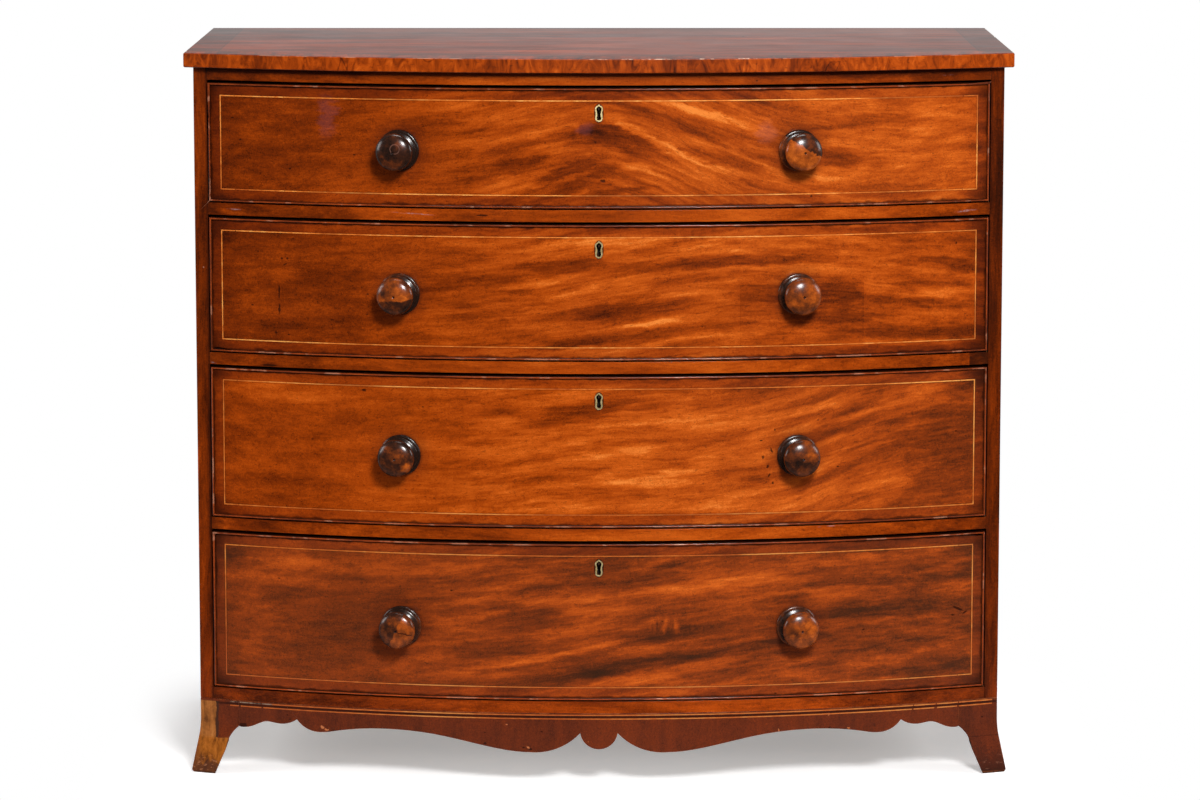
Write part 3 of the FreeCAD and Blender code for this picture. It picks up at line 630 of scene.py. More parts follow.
def front_veneer(number):
    """Figured mahogany veneer with a darker border, on plain groundwork."""
    f = Finish("drawer_%d_veneer" % number)
    figure = FIGURES[number]
    low, high = node_box("drawer_%d_front" % number)
    left, middle, right = figure["tones"]
    flow = flowing(f, figure["flow"])
    tone, pores = grain(f, "x", number * 3.7, contrast=0.50, curl=0.44, source=flow)
    # tiny curled ticks in the polish
    waves = f.noise(f.moved((0.8, 1, 1.3), source=flow), 150.0, 2.0, 0.6, 1.6)
    ticks = f.times(f.fall(f.away(waves, 0.5), 0.0, 0.022),
                    f.rise(f.noise(f.place, 95.0, 2.0), 0.46, 0.60))
    # tone across the front: partly the veneer's own, partly painted shade towards the ends, where the
    # bow turns from the lamps
    veneer_tone_and_painted_shade = f.total(f.rise(f.x, -450, -20, left, middle), f.rise(f.x, 120, 420, 0, right - middle))
    shapes, marks, haze = figured(f, number, low.z, flow)
    side_gap = f.less(high.x, f.away(f.x))
    level_gap = f.least(f.less(f.z, low.z), f.less(high.z, f.z))
    edge_gap = f.least(side_gap, level_gap)
    border = f.fall(edge_gap, string_inset - 0.4, string_inset + 0.4)
    beside_line = f.within(edge_gap, string_inset - 1.5, string_inset + 1.5, 0.3)
    right_border = f.times(border, f.rise(f.x, 460, 490), f.rise(f.z, 380, 600))
    tone = f.total(tone, veneer_tone_and_painted_shade, shapes, f.times(ticks, -0.24), f.times(border, -0.02),
                   f.times(beside_line, -0.12), f.times(right_border, -0.18),
                   f.rise(side_gap, 10, 60, -0.08, 0.0))
    bloom = [(f.rise(f.x, -100, 350, *figure["haze"]), (186, 132, 92)), *haze,
             (f.times(border, 0.20), (124, 40, 12))]
    for side in (-1, 1):
        halo, ring = (f.oval(side * knob_place, knob_heights[number - 1], reach, reach,
                             soft=soft, strength=strength)
                      for reach, soft, strength in ((44, 0.5, 0.28), (30, 0.2, 0.5)))
        bloom.append((f.most(halo, ring), (58, 20, 12)))
    # painted shade inside the keyhole, and a dark margin round its thread
    base, tip = node_box("drawer_%d_escutcheon" % number)
    bloom.append((f.oval(0, (base.z + tip.z) / 2, (tip.x - base.x) / 2 + 1.2,
                         (tip.z - base.z) / 2 + 1.4, soft=0.25, strength=0.85), (30, 12, 6)))
    ragged = f.swing(f.noise(f.place, 60.0, 3.0), 9)
    grime_and_shade = f.most(f.fall(f.total(edge_gap, ragged), 3, 6, 0.70),
                   f.fall(f.total(side_gap, level_gap, ragged), 12, 46, 0.55))
    return polish(f, tone, pores, grime_and_shade, f.most(marks, f.dents()), bloom=bloom,
                  bare=[groundwork(f, (74, 40, 22), (116, 72, 42))])


# worn places on the rails: x, height above the floor, half length, half height, and for the
# scratches their slope in degrees
RAIL_BREAKS = ((-150, 752, 8, 1.2), (-430, 549, 10, 1.4), (60, 347, 12, 1.2))
RAIL_SCRATCHES = ((-492, 770, 24, 1.8, -6), (-478, 752, 14, 1.0, 0), (478, 750, 16, 1.6, 4),
                  (502, 764, 10, 1.4, 0), (452, 928, 8, 1.2, 0), (-504, 548, 7, 1.6, -20),
                  (-240, 753, 30, 0.9, -3), (300, 342, 20, 0.8, 2))
LET_IN_PIECE = dict(start=485, low=545.8, high=563.3)     # dark, at the right end of rail 2


def rail_veneer():
    """Straight grained mahogany for the rails between the drawers."""
    f = Finish("rail_veneer")
    tone, pores = grain(f, "x", 21.3, contrast=0.85)
    across = f.away(f.x)
    tone = f.total(tone, f.rise(across, 100, 480, 0.62, 0.41), f.rise(f.x, -300, 300, -0.03, 0.03),
                   f.rise(f.z, 115, 140, -0.14, 0.0), f.rise(f.z, 900, 920, 0.0, -0.04))
    # darker at the ends next to the sides, and a painted shadow just under the top's overhang
    grime_and_shade = f.most(f.rise(across, 485, 512, 0.0, 0.5),
                   f.rise(f.z, top_underside - 14, top_underside - 2, 0.0, 0.65))
    start, low, high = LET_IN_PIECE.values()
    let_in = f.times(f.rise(f.x, start - 0.4, start + 0.4), f.within(f.z, low, high, 0.3),
                     f.rise(f.noise(f.moved((0.3, 1, 1)), 90.0, 3.0, 0.7), 0.30, 0.55, 0.65, 1.0))
    broken = f.most(*(f.oval(*place, soft=0.3) for place in RAIL_BREAKS), let_in)
    rubbed = f.times(f.most(*(f.oval(*place, soft=0.7) for place in RAIL_SCRATCHES)),
                     f.rise(f.noise(f.moved((1, 1, 3)), 90.0, 3.0, 0.7), 0.44, 0.60))
    return polish(f, tone, pores, grime_and_shade, f.most(broken, f.dents()),
                  bare=[groundwork(f, (92, 60, 36), (132, 92, 58))],
                  bloom=[(f.times(rubbed, 0.55), (178, 150, 152))])


def side_mahogany():
    """Upright grain of the carcase sides and of the stiles on their front edges."""
    f = Finish("side_mahogany")
    tone, pores = grain(f, "z", 33.1, contrast=0.8)
    across, behind = f.away(f.x), f.behind_bow()
    stile = f.fall(behind, 1, 3)
    inner = f.fall(across, half_carcase - 17, half_carcase - 14)
    worn_edge = f.times(stile, f.rise(across, half_carcase - 3, half_carcase),
                        f.rise(f.noise(f.moved((1, 1, 0.3)), 60.0, 3.0), 0.5, 0.62))
    tone = f.total(tone, 0.42, f.times(stile, -0.15), f.times(worn_edge, 0.16))
    grime_and_shade = f.times(stile, inner, f.rise(f.x, -100, 100, 0.6, 0.3))
    specks = f.times(f.spots(f.place, 48.0, 0.07, 0.2), stile, 0.6)
    return polish(f, tone, pores, grime_and_shade, f.dents(30.0, 0.06, 0.3),
                  bloom=[(f.rise(behind, 3, 40, 0.0, 0.16), (104, 70, 52)), (specks, (178, 120, 96))])


def top_mahogany(name, shine):
    """Top board with a mitred cross-banded border, and its banded edge."""
    f = Finish(name)
    tone, pores = grain(f, "x", 8.2, contrast=0.9)
    cross, _ = grain(f, "y", 9.6, contrast=0.9)
    side_gap = f.less(half_width, f.away(f.x))
    front_gap = f.behind_bow(top_overhang)
    rear_gap = f.less(back_y, f.y)
    gap = f.least(side_gap, front_gap)
    band = f.math("LESS_THAN", gap, band_width)
    on_side = f.times(band, f.math("LESS_THAN", side_gap, front_gap))
    joint = f.within(gap, band_width - 0.5, band_width + 0.5, 0.3)
    # in the side bands the grain runs along x, square to the edge; in the front band along y
    surface_tone = f.blend(f.less(band, on_side), tone, cross)
    # painted sheen: greyer and a little darker towards the back, where the polish is seen more at a
    # slant
    painted_sheen_to_the_back = f.fall(rear_gap, 20, 330)
    tone = f.total(surface_tone, 0.35, f.times(band, -0.05), f.times(on_side, -0.04),
                   f.times(joint, -0.25), f.times(painted_sheen_to_the_back, -0.04))
    # the upright edge is banded with short upright grain
    edge = f.most(f.fall(front_gap, 0.2, 0.7), f.fall(side_gap, 0.2, 0.7))
    slant = f.moved((1, 1, 0.4), turn=(0, math.radians(24), 0))
    leaves = f.noise(slant, 62.0, 3.0, 0.65, 1.8)
    wide_leaves = f.noise(f.moved((1, 1, 0.1)), 11.0, 2.0)
    cracks = f.times(f.fall(f.away(f.noise(slant, 16.0, 2.0, 0.5, 1.4), 0.5), 0.003, 0.014),
                     f.rise(f.noise(f.moved(shift=(4, 0, 0)), 9.0, 2.0), 0.46, 0.56))
    edge_tone = f.total(0.51, f.swing(leaves, 0.95), f.swing(wide_leaves, 0.6),
                        f.times(cracks, -0.16), f.rise(f.x, 240, 420, 0.0, 0.08),
                        f.times(f.within(f.x, 30, 130, 30), -0.06),
                        f.times(f.within(f.x, -340, -20, 50), 0.04))
    marks = f.times(f.spots(f.moved((1, 1, 0.02)), 22.0, 0.05, 0.35), edge)
    # pale nicks along the front arris, partly worn wood and partly a painted highlight on the rounded
    # edge
    nicks_and_painted_highlight = f.times(f.arris(), f.rise(f.z, top_height - 4, top_height - 2),
                    f.rise(f.noise(f.moved((0.5, 0.5, 0.1)), 60.0, 4.0, 0.7), 0.50, 0.60),
                    f.total(0.35, f.times(f.within(f.x, 0, 300, 50), 0.65)))
    # the grey layer towards the back is painted sheen
    return polish(f, f.blend(edge, tone, edge_tone), pores, f.fall(rear_gap, 4, 30, 0.4),
                  f.most(marks, f.dents()), gloss=0.42, coat=0.0, specular=shine,
                  bloom=[(f.times(painted_sheen_to_the_back, 0.28), (100, 98, 96)),
                         (f.times(nicks_and_painted_highlight, 0.75), (214, 176, 150))])


# the left foot has lost its veneer outside veneer_end, where it broke off in a dark strip, and
# everywhere below veneer_base
veneer_end = -507.5
broken_strip = 4.0
veneer_base = 48

# knocks along the apron: x, height, half length, half height; pale ones show fresh wood
PALE_CHIPS = ((-364, 70.5, 3.0, 2.4), (-358, 67.5, 3.4, 1.6), (-250, 71, 6, 0.8),
              (-92, 53.5, 2.6, 1.4), (-40, 52, 5, 0.8), (327, 71, 2.4, 1.4), (228, 60, 1, 4.0),
              (236, 72, 0.8, 3.0), (301, 92, 1, 2.2), (-120, 84, 1.4, 1.0))
DARK_CHIPS = ((-89, 52, 2.2, 1.6), (-149, 57.5, 3.2, 1.8), (324, 69, 4, 1.8), (-484, 58, 9, 6),
              (-470, 66, 6, 4), (-199, 93, 1.4, 1.4), (-411, 84, 1.2, 1.6), (-407, 80, 1, 1.2))


def lost_veneer(f, on_front, scratches, worn_edge, dents):
    """Layers of the broken strip and of the paler wood where the left foot's veneer is gone."""
    ragged = f.swing(f.noise(f.moved((1, 1, 0.6)), 90.0, 3.0, 0.7), 8)
    above = f.fall(f.z, foot_height - 4, foot_height - 3)
    sideways = f.fall(f.total(f.x, ragged), veneer_end - 0.4, veneer_end + 0.4)
    below = f.fall(f.total(f.z, f.times(ragged, 0.5)), veneer_base - 0.4, veneer_base + 0.4)
    lost = f.times(f.most(sideways, below), on_front, above)
    strip_end = veneer_end + broken_strip
    strip = f.times(f.fall(f.total(f.x, f.times(ragged, 0.9)), strip_end - 1, strip_end + 1),
                    on_front, above)
    fibre = f.noise(f.moved((8, 8, 1)), 24.0, 4.0, 0.6)
    patches = f.noise(f.moved((1, 1, 0.7)), 60.0, 5.0, 0.75, 0.8)
    rich = f.fall(f.z, veneer_base - 3, veneer_base + 3)
    pale_wood = f.ramp(f.total(f.times(fibre, 0.45), f.times(patches, 0.55)),
                       (0.36, 92, 50, 20), (0.50, 146, 86, 38), (0.66, 176, 112, 56))
    rich_wood = f.ramp(f.total(f.times(fibre, 0.35), f.times(patches, 0.65)),
                       (0.38, 66, 32, 10), (0.50, 136, 74, 20), (0.66, 172, 100, 34))
    # dark, rubbed outer edge, and dirt that rises from the floor
    rim = f.fall(f.total(f.times(f.z, 0.30), f.x), -528, -515, 0.65)
    dirt = f.fall(f.total(f.z, f.swing(patches, 60)), 8, 24, 0.85)
    wood = f.covered(f.blend(rich, pale_wood, rich_wood),
                     (f.most(dirt, f.times(rim, rich)), (74, 40, 26)),
                     (f.times(scratches, 0.8), (168, 112, 78)),
                     (f.times(worn_edge, 0.6), (150, 82, 54)),
                     (f.times(dents, 0.7), (40, 20, 10)))
    return (f.times(strip, 0.80), (52, 36, 26)), (lost, wood)


def stand_mahogany(name, tone_level, chipped=False, stripped=False):
    """Apron, skirts and feet; a stripped foot shows the paler wood under its veneer."""
    f = Finish(name)
    tone, pores = grain(f, "z", 14.9, contrast=0.24, curl=0.46)
    broad = f.noise(f.moved((1, 1, 0.5)), 13.0, 3.0, 0.6, 0.6)
    tone = f.total(tone, tone_level, f.rise(f.z, 0, 40, -0.14, 0.0), f.swing(broad, 0.22))
    dents = f.dents(40.0, 0.08, 0.30)
    flecks = f.times(f.spots(f.place, 60.0, 0.09, 0.22), 0.55)
    soiled = f.fall(f.total(f.z, f.times(f.noise(f.place, 40.0, 3.0), 16)), 4, 24, 0.8)
    scratches = f.times(f.rise(f.noise(f.moved((0.5, 1, 1.6), turn=(0, 0.6, 0)), 300.0, 2.0),
                               0.60, 0.68), f.fall(f.z, 14, 30, 0.6))
    worn_edge = f.times(f.arris(), f.rise(f.noise(f.place, 45.0, 4.0, 0.7), 0.42, 0.60))
    between_lines = f.times(f.within(f.z, foot_height - 6.4, foot_height - 3.6, 0.3),
                            f.fall(f.behind_bow(), 2, 3))
    bloom = [(0.22, (84, 50, 40)), (f.times(between_lines, 0.7), (34, 12, 6)),
             (f.most(f.times(worn_edge, 0.5), flecks), (176, 98, 52))]
    bare = ()
    on_front = f.fall(f.behind_bow(), 60, 70)
    if chipped:
        shaken = f.frayed(f.place, 170.0, 3.5)
        pale, dark = (f.most(*(f.oval(*chip, soft=0.4, source=shaken) for chip in chips))
                      for chips in (PALE_CHIPS, DARK_CHIPS))
        dents = f.most(dents, f.times(dark, on_front))
        bloom.append((f.times(pale, on_front, 0.75), (190, 112, 66)))
    if stripped:
        strip, ground = lost_veneer(f, on_front, scratches, worn_edge, dents)
        bloom.append(strip)
        bare = [ground]
    else:
        seam = f.times(f.within(f.z, 49, 50, 0.4), on_front, f.rise(f.x, 476, 478))
        bloom += [(f.times(scratches, 0.55), (150, 98, 76)), (f.times(seam, 0.5), (40, 16, 10))]
    return polish(f, tone, pores, f.times(soiled, 0.5), dents, gloss=0.42, coat=0.1,
                  bloom=bloom, bare=bare)


def bead_mahogany():
    """Cockbead: painted shade on all of it but its nose, a painted highlight along the nose, and pale
    spots rubbed there by wear.
    """
    f = Finish("bead_mahogany")
    tone, pores = grain(f, "x", 5.5, contrast=0.5)
    nose = f.fall(f.behind_bow(), -2.93, -2.5)
    patchy = f.rise(f.noise(f.place, 16.0, 4.0, 0.7), 0.36, 0.60)
    worn = f.times(nose, f.rise(f.noise(f.place, 38.0, 3.0, 0.6), 0.56, 0.64))
    # the paler nose is a painted highlight, and the dark layer on all but the nose is painted shade
    tone = f.total(tone, 0.20, f.times(nose, 0.16), f.times(nose, patchy, 0.16))
    return polish(f, tone, pores, f.times(f.fall(nose, 0.0, 0.6), 0.75),
                  f.spots(f.place, 45.0, 0.16, 0.12), gloss=0.30, coat=0.4,
                  bloom=[(f.times(nose, 0.22), (110, 66, 50)),
                         (f.times(worn, 0.45), (198, 138, 108))])


def string_line():
    """Boxwood stringing, gone golden, in places hidden by dark polish."""
    f = Finish("string_line")
    fast = f.noise(f.place, 130.0, 2.0)
    boxwood = f.ramp(f.total(f.times(f.noise(f.place, 7.0, 3.0), 0.65), f.times(fast, 0.35)),
                     (0.34, 172, 76, 18), (0.48, 222, 120, 42), (0.62, 246, 166, 82))
    gone = f.times(f.fall(f.x, -434, -428), f.rise(f.z, foot_height - 4.4, foot_height - 4.0),
                   f.fall(f.z, foot_height + 2, foot_height + 3))
    hidden = f.rise(f.noise(f.moved(shift=(3, 0, 5)), 4.2, 3.0, 0.6), 0.54, 0.64)
    breaks = f.spots(f.place, 30.0, 0.10, 0.25)
    shade = f.covered(boxwood, (f.fall(f.z, 100, 300, 0.30), (130, 56, 20)),
                      (f.fall(f.z, 300, 800, 0.40), (140, 60, 18)),
                      (gone, f.ramp(fast, (0.4, 48, 30, 22), (0.6, 136, 108, 88))),
                      (f.times(hidden, 0.6), (138, 56, 14)), (f.times(breaks, 0.8), (50, 18, 8)))
    return f.surface(colour=shade, roughness=0.36, coat=0.25, coat_roughness=0.16, specular=0.25)


def knob_mahogany(name, centre, level, split=None, patches=(), rings=False, crack=False):
    """Turned wood of mixed colour. Places are across and up from the middle of the face.

    split is (angle, offset, tone): beyond that line the wood has that tone.
    patches are (across, up, half length, half height, change of tone).
    """
    f = Finish(name)
    tone, pores = grain(f, "y", (centre.x * 31 + centre.z * 17) * MM, contrast=0.8, curl=0.10)
    off = f.moved(shift=-centre * MM)
    shaken = f.frayed(off, 120.0, 6)
    x, y, z = f.in_mm(off)
    shaken_x, _, shaken_z = f.in_mm(shaken)
    # the collar is darker than the head, partly its own wood and partly painted shade behind the head;
    # the cove and waist between them, and the head's outer rim, are darkened with painted shade
    flat = f.span(x, z)
    parts = [tone, f.swing(f.noise(off, 70.0, 4.0, 0.65), 0.85), level,
             f.rise(y, -28, -20, 0.0, -0.11), f.times(f.within(y, -24, -9, 3), -0.22),
             f.rise(flat, 18, 24, 0.0, -0.07)]
    if split is not None:
        angle, offset, other = split
        along = f.total(f.times(shaken_x, math.cos(math.radians(angle))),
                        f.times(shaken_z, math.sin(math.radians(angle))))
        parts.append(f.rise(along, offset - 0.8, offset + 0.8, 0.0, other - level))
    parts += [f.oval(*place, soft=0.5, strength=change, source=shaken) for *place, change in patches]
    bloom = [(0.10, (88, 60, 48))]
    if rings:
        scribed = f.times(f.within(f.span(f.less(x, 3), f.less(z, 5)), 5.6, 6.4, 0.5),
                          f.rise(f.noise(off, 90.0, 2.0), 0.40, 0.55))
        bloom.append((f.times(scribed, 0.5), (150, 104, 88)))
    if crack:
        line = f.total(z, f.times(x, 0.24), f.swing(f.noise(off, 140.0), 6))
        run = f.times(f.within(x, 0, 21, 1), f.within(line, -0.9, 0.5, 0.4))
        bloom.append((f.times(run, 0.85), (40, 16, 10)))
    return polish(f, f.total(*parts), pores, f.fall(flat, 1.0, 2.2, 0.9),
                  f.spots(off, 75.0, 0.10, 0.3), gloss=0.24, coat=0.42, coat_roughness=0.20,
                  specular=0.15, bloom=bloom, palette=TURNED)


# ---- secondary woods and metals ----------------------------------------------------------------
def plain_wood(name, along, seed, dark, pale):
    """Unpolished boards, grey with age and handling."""
    f = Finish(name)
    tone, pores = grain(f, along, seed, contrast=0.9)

    def darker(share):
        return (*(share * part for part in colour(*dark)), 1.0)

    stains = f.rise(f.noise(f.place, 5.0, 4.0, 0.6), 0.50, 0.70, 0.0, 0.45)
    knots = f.spots(f.moved(scaled(along, 1, 0.5)), 5.5, 0.045, 0.3)
    shade = f.covered(f.ramp(f.total(tone, 0.5), (0.15, *dark), (0.85, *pale)),
                      (f.times(pores, 0.35), darker(0.35)), (stains, darker(0.45)),
                      (f.times(knots, 0.8), darker(0.3)))
    saw = f.noise(f.place, 260.0, 2.0)
    return f.surface(colour=shade, roughness=0.8, specular=0.3,
                     normal=f.bump(f.less(saw, pores), 0.3, 0.3))


def back_pine():
    """Rough back boards, each of its own tone, with dirt in their joints and old water marks."""
    f = Finish("back_pine")
    tone, pores = grain(f, "z", 6.4, contrast=0.9)
    low, high = node_box("back_boards")
    boards = 5
    width = (high.x - low.x) / boards
    number = f.math("DIVIDE", f.less(f.x, low.x), width)
    each = f.noise(f.vector(x=f.math("FLOOR", number)), 7.3)
    joint_gap = f.times(f.math("PINGPONG", number, 0.5), width)
    dirt = f.most(f.fall(joint_gap, 1, 9, 0.6), f.fall(f.z, low.z, low.z + 60, 0.45))
    tide = f.noise(f.moved((1, 1, 0.7)), 4.0, 4.0, 0.6)
    marks = f.most(f.rise(tide, 0.52, 0.60, 0.0, 0.28),
                   f.times(f.within(tide, 0.545, 0.56, 0.008), 0.45))
    shade = f.covered(f.ramp(f.total(tone, 0.5, f.swing(each, 0.9)), (0.10, 88, 57, 36),
                             (0.50, 140, 96, 62), (0.90, 180, 132, 90)),
                      (f.times(pores, 0.35), (46, 30, 18)),
                      (f.times(dirt, f.rise(f.noise(f.place, 20.0, 4.0), 0.3, 0.6)), (44, 30, 20)),
                      (marks, (70, 46, 28)))
    saw = f.noise(f.moved((0.2, 1, 1)), 240.0, 2.0)
    return f.surface(colour=shade, roughness=0.82, specular=0.3,
                     normal=f.bump(f.less(saw, pores), 0.35, 0.4))


def lock_iron():
    f = Finish("lock_iron")
    rust = f.rise(f.noise(f.place, 130.0, 4.0, 0.65), 0.46, 0.66)
    return f.surface(colour=f.blend(rust, (70, 66, 62), (84, 50, 32)), metallic=0.7,
                     roughness=f.total(f.times(rust, 0.3), 0.42), normal=f.bump(rust, 0.3, 0.2))


def bolt_steel():
    f = Finish("bolt_steel")
    drawn = f.noise(f.moved((1, 1, 0.05)), 900.0, 2.0)
    return f.surface(colour=f.blend(drawn, (150, 148, 142), (104, 102, 98)), metallic=0.9,
                     roughness=f.total(f.times(drawn, 0.2), 0.26))


def thread_brass():
    """Keyhole thread: pale worn brass, darker on the lower drawers."""
    f = Finish("thread_brass")
    worn = f.ramp(f.noise(f.place, 420.0, 3.0), (0.3, 196, 166, 100), (0.6, 244, 226, 170))
    return f.surface(colour=f.blend(f.fall(f.z, 760, 800, 0.50), worn, (112, 88, 52)),
                     metallic=0.35, roughness=0.40)


# ---- pieces made with Geometry Nodes -----------------------------------------------------------
class Maker(Nodes):
    """A Geometry Nodes tree with named inputs, turned into a plain mesh when it is used."""

    def __init__(self, name, **inputs):
        super().__init__(bpy.data.node_groups.new(name, "GeometryNodeTree"))
        face = self.tree.interface
        self.sockets = {
            label: face.new_socket(label, in_out="INPUT", socket_type="NodeSocket" + kind).identifier
            for kind, labels in inputs.items() for label in labels.split()}
        face.new_socket("Geometry", in_out="OUTPUT", socket_type="NodeSocketGeometry")
        self.given = self.add("NodeGroupInput").outputs
        self.end = self.add("NodeGroupOutput")

    def shape(self, kind, inputs, **settings):
        """Add a node and return what it makes."""
        return self.add(kind, inputs, **settings).outputs[0]

    def finish(self, geometry):
        """Realize, give the material and join the output."""
        real = self.shape("GeometryNodeRealizeInstances", {"Geometry": geometry})
        dressed = self.shape("GeometryNodeSetMaterial",
                             {"Geometry": real, "Material": self.given["Material"]})
        self.put(self.end.inputs[0], dressed)
        return self

    def make(self, name, sizes, **values):
        """Run the tree with these inputs, sizes in mm, and return its mesh as a new object."""
        holder = new_object(name + "_maker", bpy.data.meshes.new(name + "_maker"))
        modifier = holder.modifiers.new(self.tree.name, "NODES")
        modifier.node_group = self.tree
        in_metres = {label: size * MM for label, size in sizes.items()}
        for label, value in (in_metres | values).items():
            modifier[self.sockets[label]] = value
        holder.data.update()
        mesh = applied_mesh(holder)
        holder.modifiers.remove(modifier)
        bpy.data.objects.remove(holder)
        mesh.name = name
        return new_object(name, mesh)


def line_maker():
    """A rectangle of inlaid line that follows the bow: two level strips and two upright ones."""
    t = Maker("inlaid line", Float="Left Right Bottom Top Line Thickness Proud Radius Centre",
              Bool="Uprights", Material="Material")
    line, thickness = t.given["Line"], t.given["Thickness"]

    def half_and_middle(low, high):
        return (t.math("MULTIPLY", t.less(high, low), 0.5),
                t.math("MULTIPLY", t.total(high, low), 0.5))

    half, centre_x = half_and_middle(t.given["Left"], t.given["Right"])
    half_height, middle = half_and_middle(t.given["Bottom"], t.given["Top"])
    join = t.add("GeometryNodeJoinGeometry")
    uprights = t.add("GeometryNodeJoinGeometry")

    def lay(strips, size, place, along):
        bar = t.shape("GeometryNodeMeshCube", {"Size": size, "Vertices X": along})
        t.put(strips.inputs[0], t.shape("GeometryNodeTransform",
                                        {"Geometry": bar, "Translation": place}))

    level_size = t.vector(t.total(t.times(half, 2.0), line), thickness, line)
    upright_size = t.vector(line, thickness, t.less(t.times(half_height, 2.0), line))
    for level in (t.given["Bottom"], t.given["Top"]):
        lay(join, level_size, t.vector(x=centre_x, z=level), 97)
    for side in (-1.0, 1.0):
        lay(uprights, upright_size,
            t.vector(x=t.math("MULTIPLY_ADD", half, side, centre_x), z=middle), 2)
    t.put(join.inputs[0], t.shape("GeometryNodeSwitch",
                                  {"Switch": t.given["Uprights"], "True": uprights.outputs[0]},
                                  input_type="GEOMETRY"))
    # bend: move each point along y from the flat strip on to the bowed face
    x = t.parts(t.add("GeometryNodeInputPosition").outputs[0])[0]
    outer = t.total(t.given["Radius"], t.less(t.given["Proud"], t.times(thickness, 0.5)))
    depth = t.math("SQRT", t.less(t.times(outer, outer), t.times(x, x)))
    return t.finish(t.shape("GeometryNodeSetPosition",
                            {"Geometry": join.outputs[0],
                             "Offset": t.vector(y=t.less(t.given["Centre"], depth))}))


def screw_maker():
    """Round heads with a slot, one at every point of a rectangle of given spacing."""
    t = Maker("screw heads", Vector="Centre Facing", Float="Across Up Head Thickness",
              Int="Columns Rows Seed", Bool="Slotted", Material="Material")
    head, thickness = t.given["Head"], t.given["Thickness"]
    width = t.times(t.given["Across"], t.less(t.given["Columns"], 1))
    height = t.times(t.given["Up"], t.less(t.given["Rows"], 1))
    grid = t.shape("GeometryNodeMeshGrid", {"Size X": width, "Size Y": height,
                                            "Vertices X": t.given["Columns"],
                                            "Vertices Y": t.given["Rows"]})
    places = t.shape("GeometryNodeMeshToPoints", {"Mesh": grid})
    upright = t.shape("GeometryNodeTransform", {"Geometry": places, "Rotation": (math.pi / 2, 0, 0),
                                                "Translation": t.given["Centre"]})
    disc = t.shape("GeometryNodeMeshCylinder", {"Vertices": 20, "Radius": head, "Depth": thickness})
    cut = t.shape("GeometryNodeMeshCube", {"Size": t.vector(t.times(head, 3.0), t.times(head, 0.28),
                                                            t.times(thickness, 0.9))})
    raised = t.shape("GeometryNodeTransform",
                     {"Geometry": cut, "Translation": t.vector(z=t.times(thickness, 0.5))})
    slotted = t.shape("GeometryNodeMeshBoolean", {"Mesh 1": disc, "Mesh 2": raised},
                      operation="DIFFERENCE")
    screw = t.shape("GeometryNodeSwitch",
                    {"Switch": t.given["Slotted"], "False": disc, "True": slotted},
                    input_type="GEOMETRY")
    aim = t.shape("FunctionNodeAlignRotationToVector", {"Vector": t.given["Facing"]}, axis="Z")
    spin = t.add("FunctionNodeRandomValue", {"Seed": t.given["Seed"], 3: 2 * math.pi},
                 data_type="FLOAT").outputs[1]
    turn = t.shape("FunctionNodeRotateRotation", {"Rotation": aim, "Rotate By": t.vector(z=spin)},
                   rotation_space="LOCAL")
    return t.finish(t.shape("GeometryNodeInstanceOnPoints",
                            {"Points": upright, "Instance": screw, "Rotation": turn}))


# ---- the carcase -------------------------------------------------------------------------------
def dress_carcase():
    rail, side = rail_veneer(), side_mahogany()
    stand = stand_mahogany("stand_mahogany", 0.29, chipped=True)
    foot = stand_mahogany("foot_mahogany", 0.25)
    worn_foot = stand_mahogany("worn_foot", 0.30, stripped=True)

    def dress(node, name, material, ease, bowed=False):
        return stand_in(node, name, "carcase", material, ease, bowed)

    top = dress("top_board", "top", top_mahogany("top_mahogany", 0.35), 0.7, bowed=True)
    top.data.materials.append(top_mahogany("top_edge_mahogany", 0.10))
    for face in top.data.polygons:
        face.material_index = 1 if abs(face.normal.z) < 0.5 else 0
    for node in ("left_side", "right_side"):
        dress(node, node + "_board", side, 0.8)
    for node in ("top_rails", "divider_rail_1", "divider_rail_2", "divider_rail_3", "base_rail"):
        dress(node, node + "_board", rail, 0.5, bowed=True)
    dress("apron", "scalloped_apron", stand, 0.8, bowed=True)
    dress("side_skirts", "side_skirt_boards", stand, 0.8)
    dress("front_left_foot", "splayed_front_left_foot", worn_foot, 1.0)
    for node in ("front_right_foot", "rear_left_foot", "rear_right_foot"):
        dress(node, "splayed_" + node, foot, 1.0)
    pine = plain_wood("carcase_pine", "x", 2.2, (104, 74, 46), (164, 124, 80))
    for node in ("base_board", "dust_boards", "drawer_stops", "glue_blocks"):
        recolour(node, pine)
    recolour("back_boards", back_pine())
    recolour("drawer_runners", plain_wood("runner_pine", "y", 7.7, (104, 74, 46), (166, 126, 84)))


# ---- the drawers -------------------------------------------------------------------------------
def knob_profile():
    """Collar with a rounded edge and an inner ring, cove, waist, and a head with a low dome."""
    collar = [(0, 0), (0, 26.2), (0.6, 26.9), (2.0, 27.0), (3.4, 26.7), (4.3, 25.6), (4.6, 24.3),
              (4.7, 23.2), (5.2, 23.7), (6.2, 23.7), (7.0, 23.0)]
    cove = smooth_through([(7.4, 21.6), (8.6, 19.0), (10.8, 15.6), (14.0, 13.3), (17.4, 13.4),
                           (20.4, 16.0), (23.2, 20.0), (25.8, 22.9), (28.2, 24.0), (30.4, 24.2),
                           (32.8, 23.5), (35.2, 21.3), (37.2, 17.8), (38.8, 13.2), (39.9, 8.2),
                           (40.5, 3.8), (40.6, 1.8)], 5)
    mark = [(40.1, 1.2), (39.4, 0.6), (39.3, 0)]
    return [(reach * MM, radius * MM) for reach, radius in collar + cove + mark]


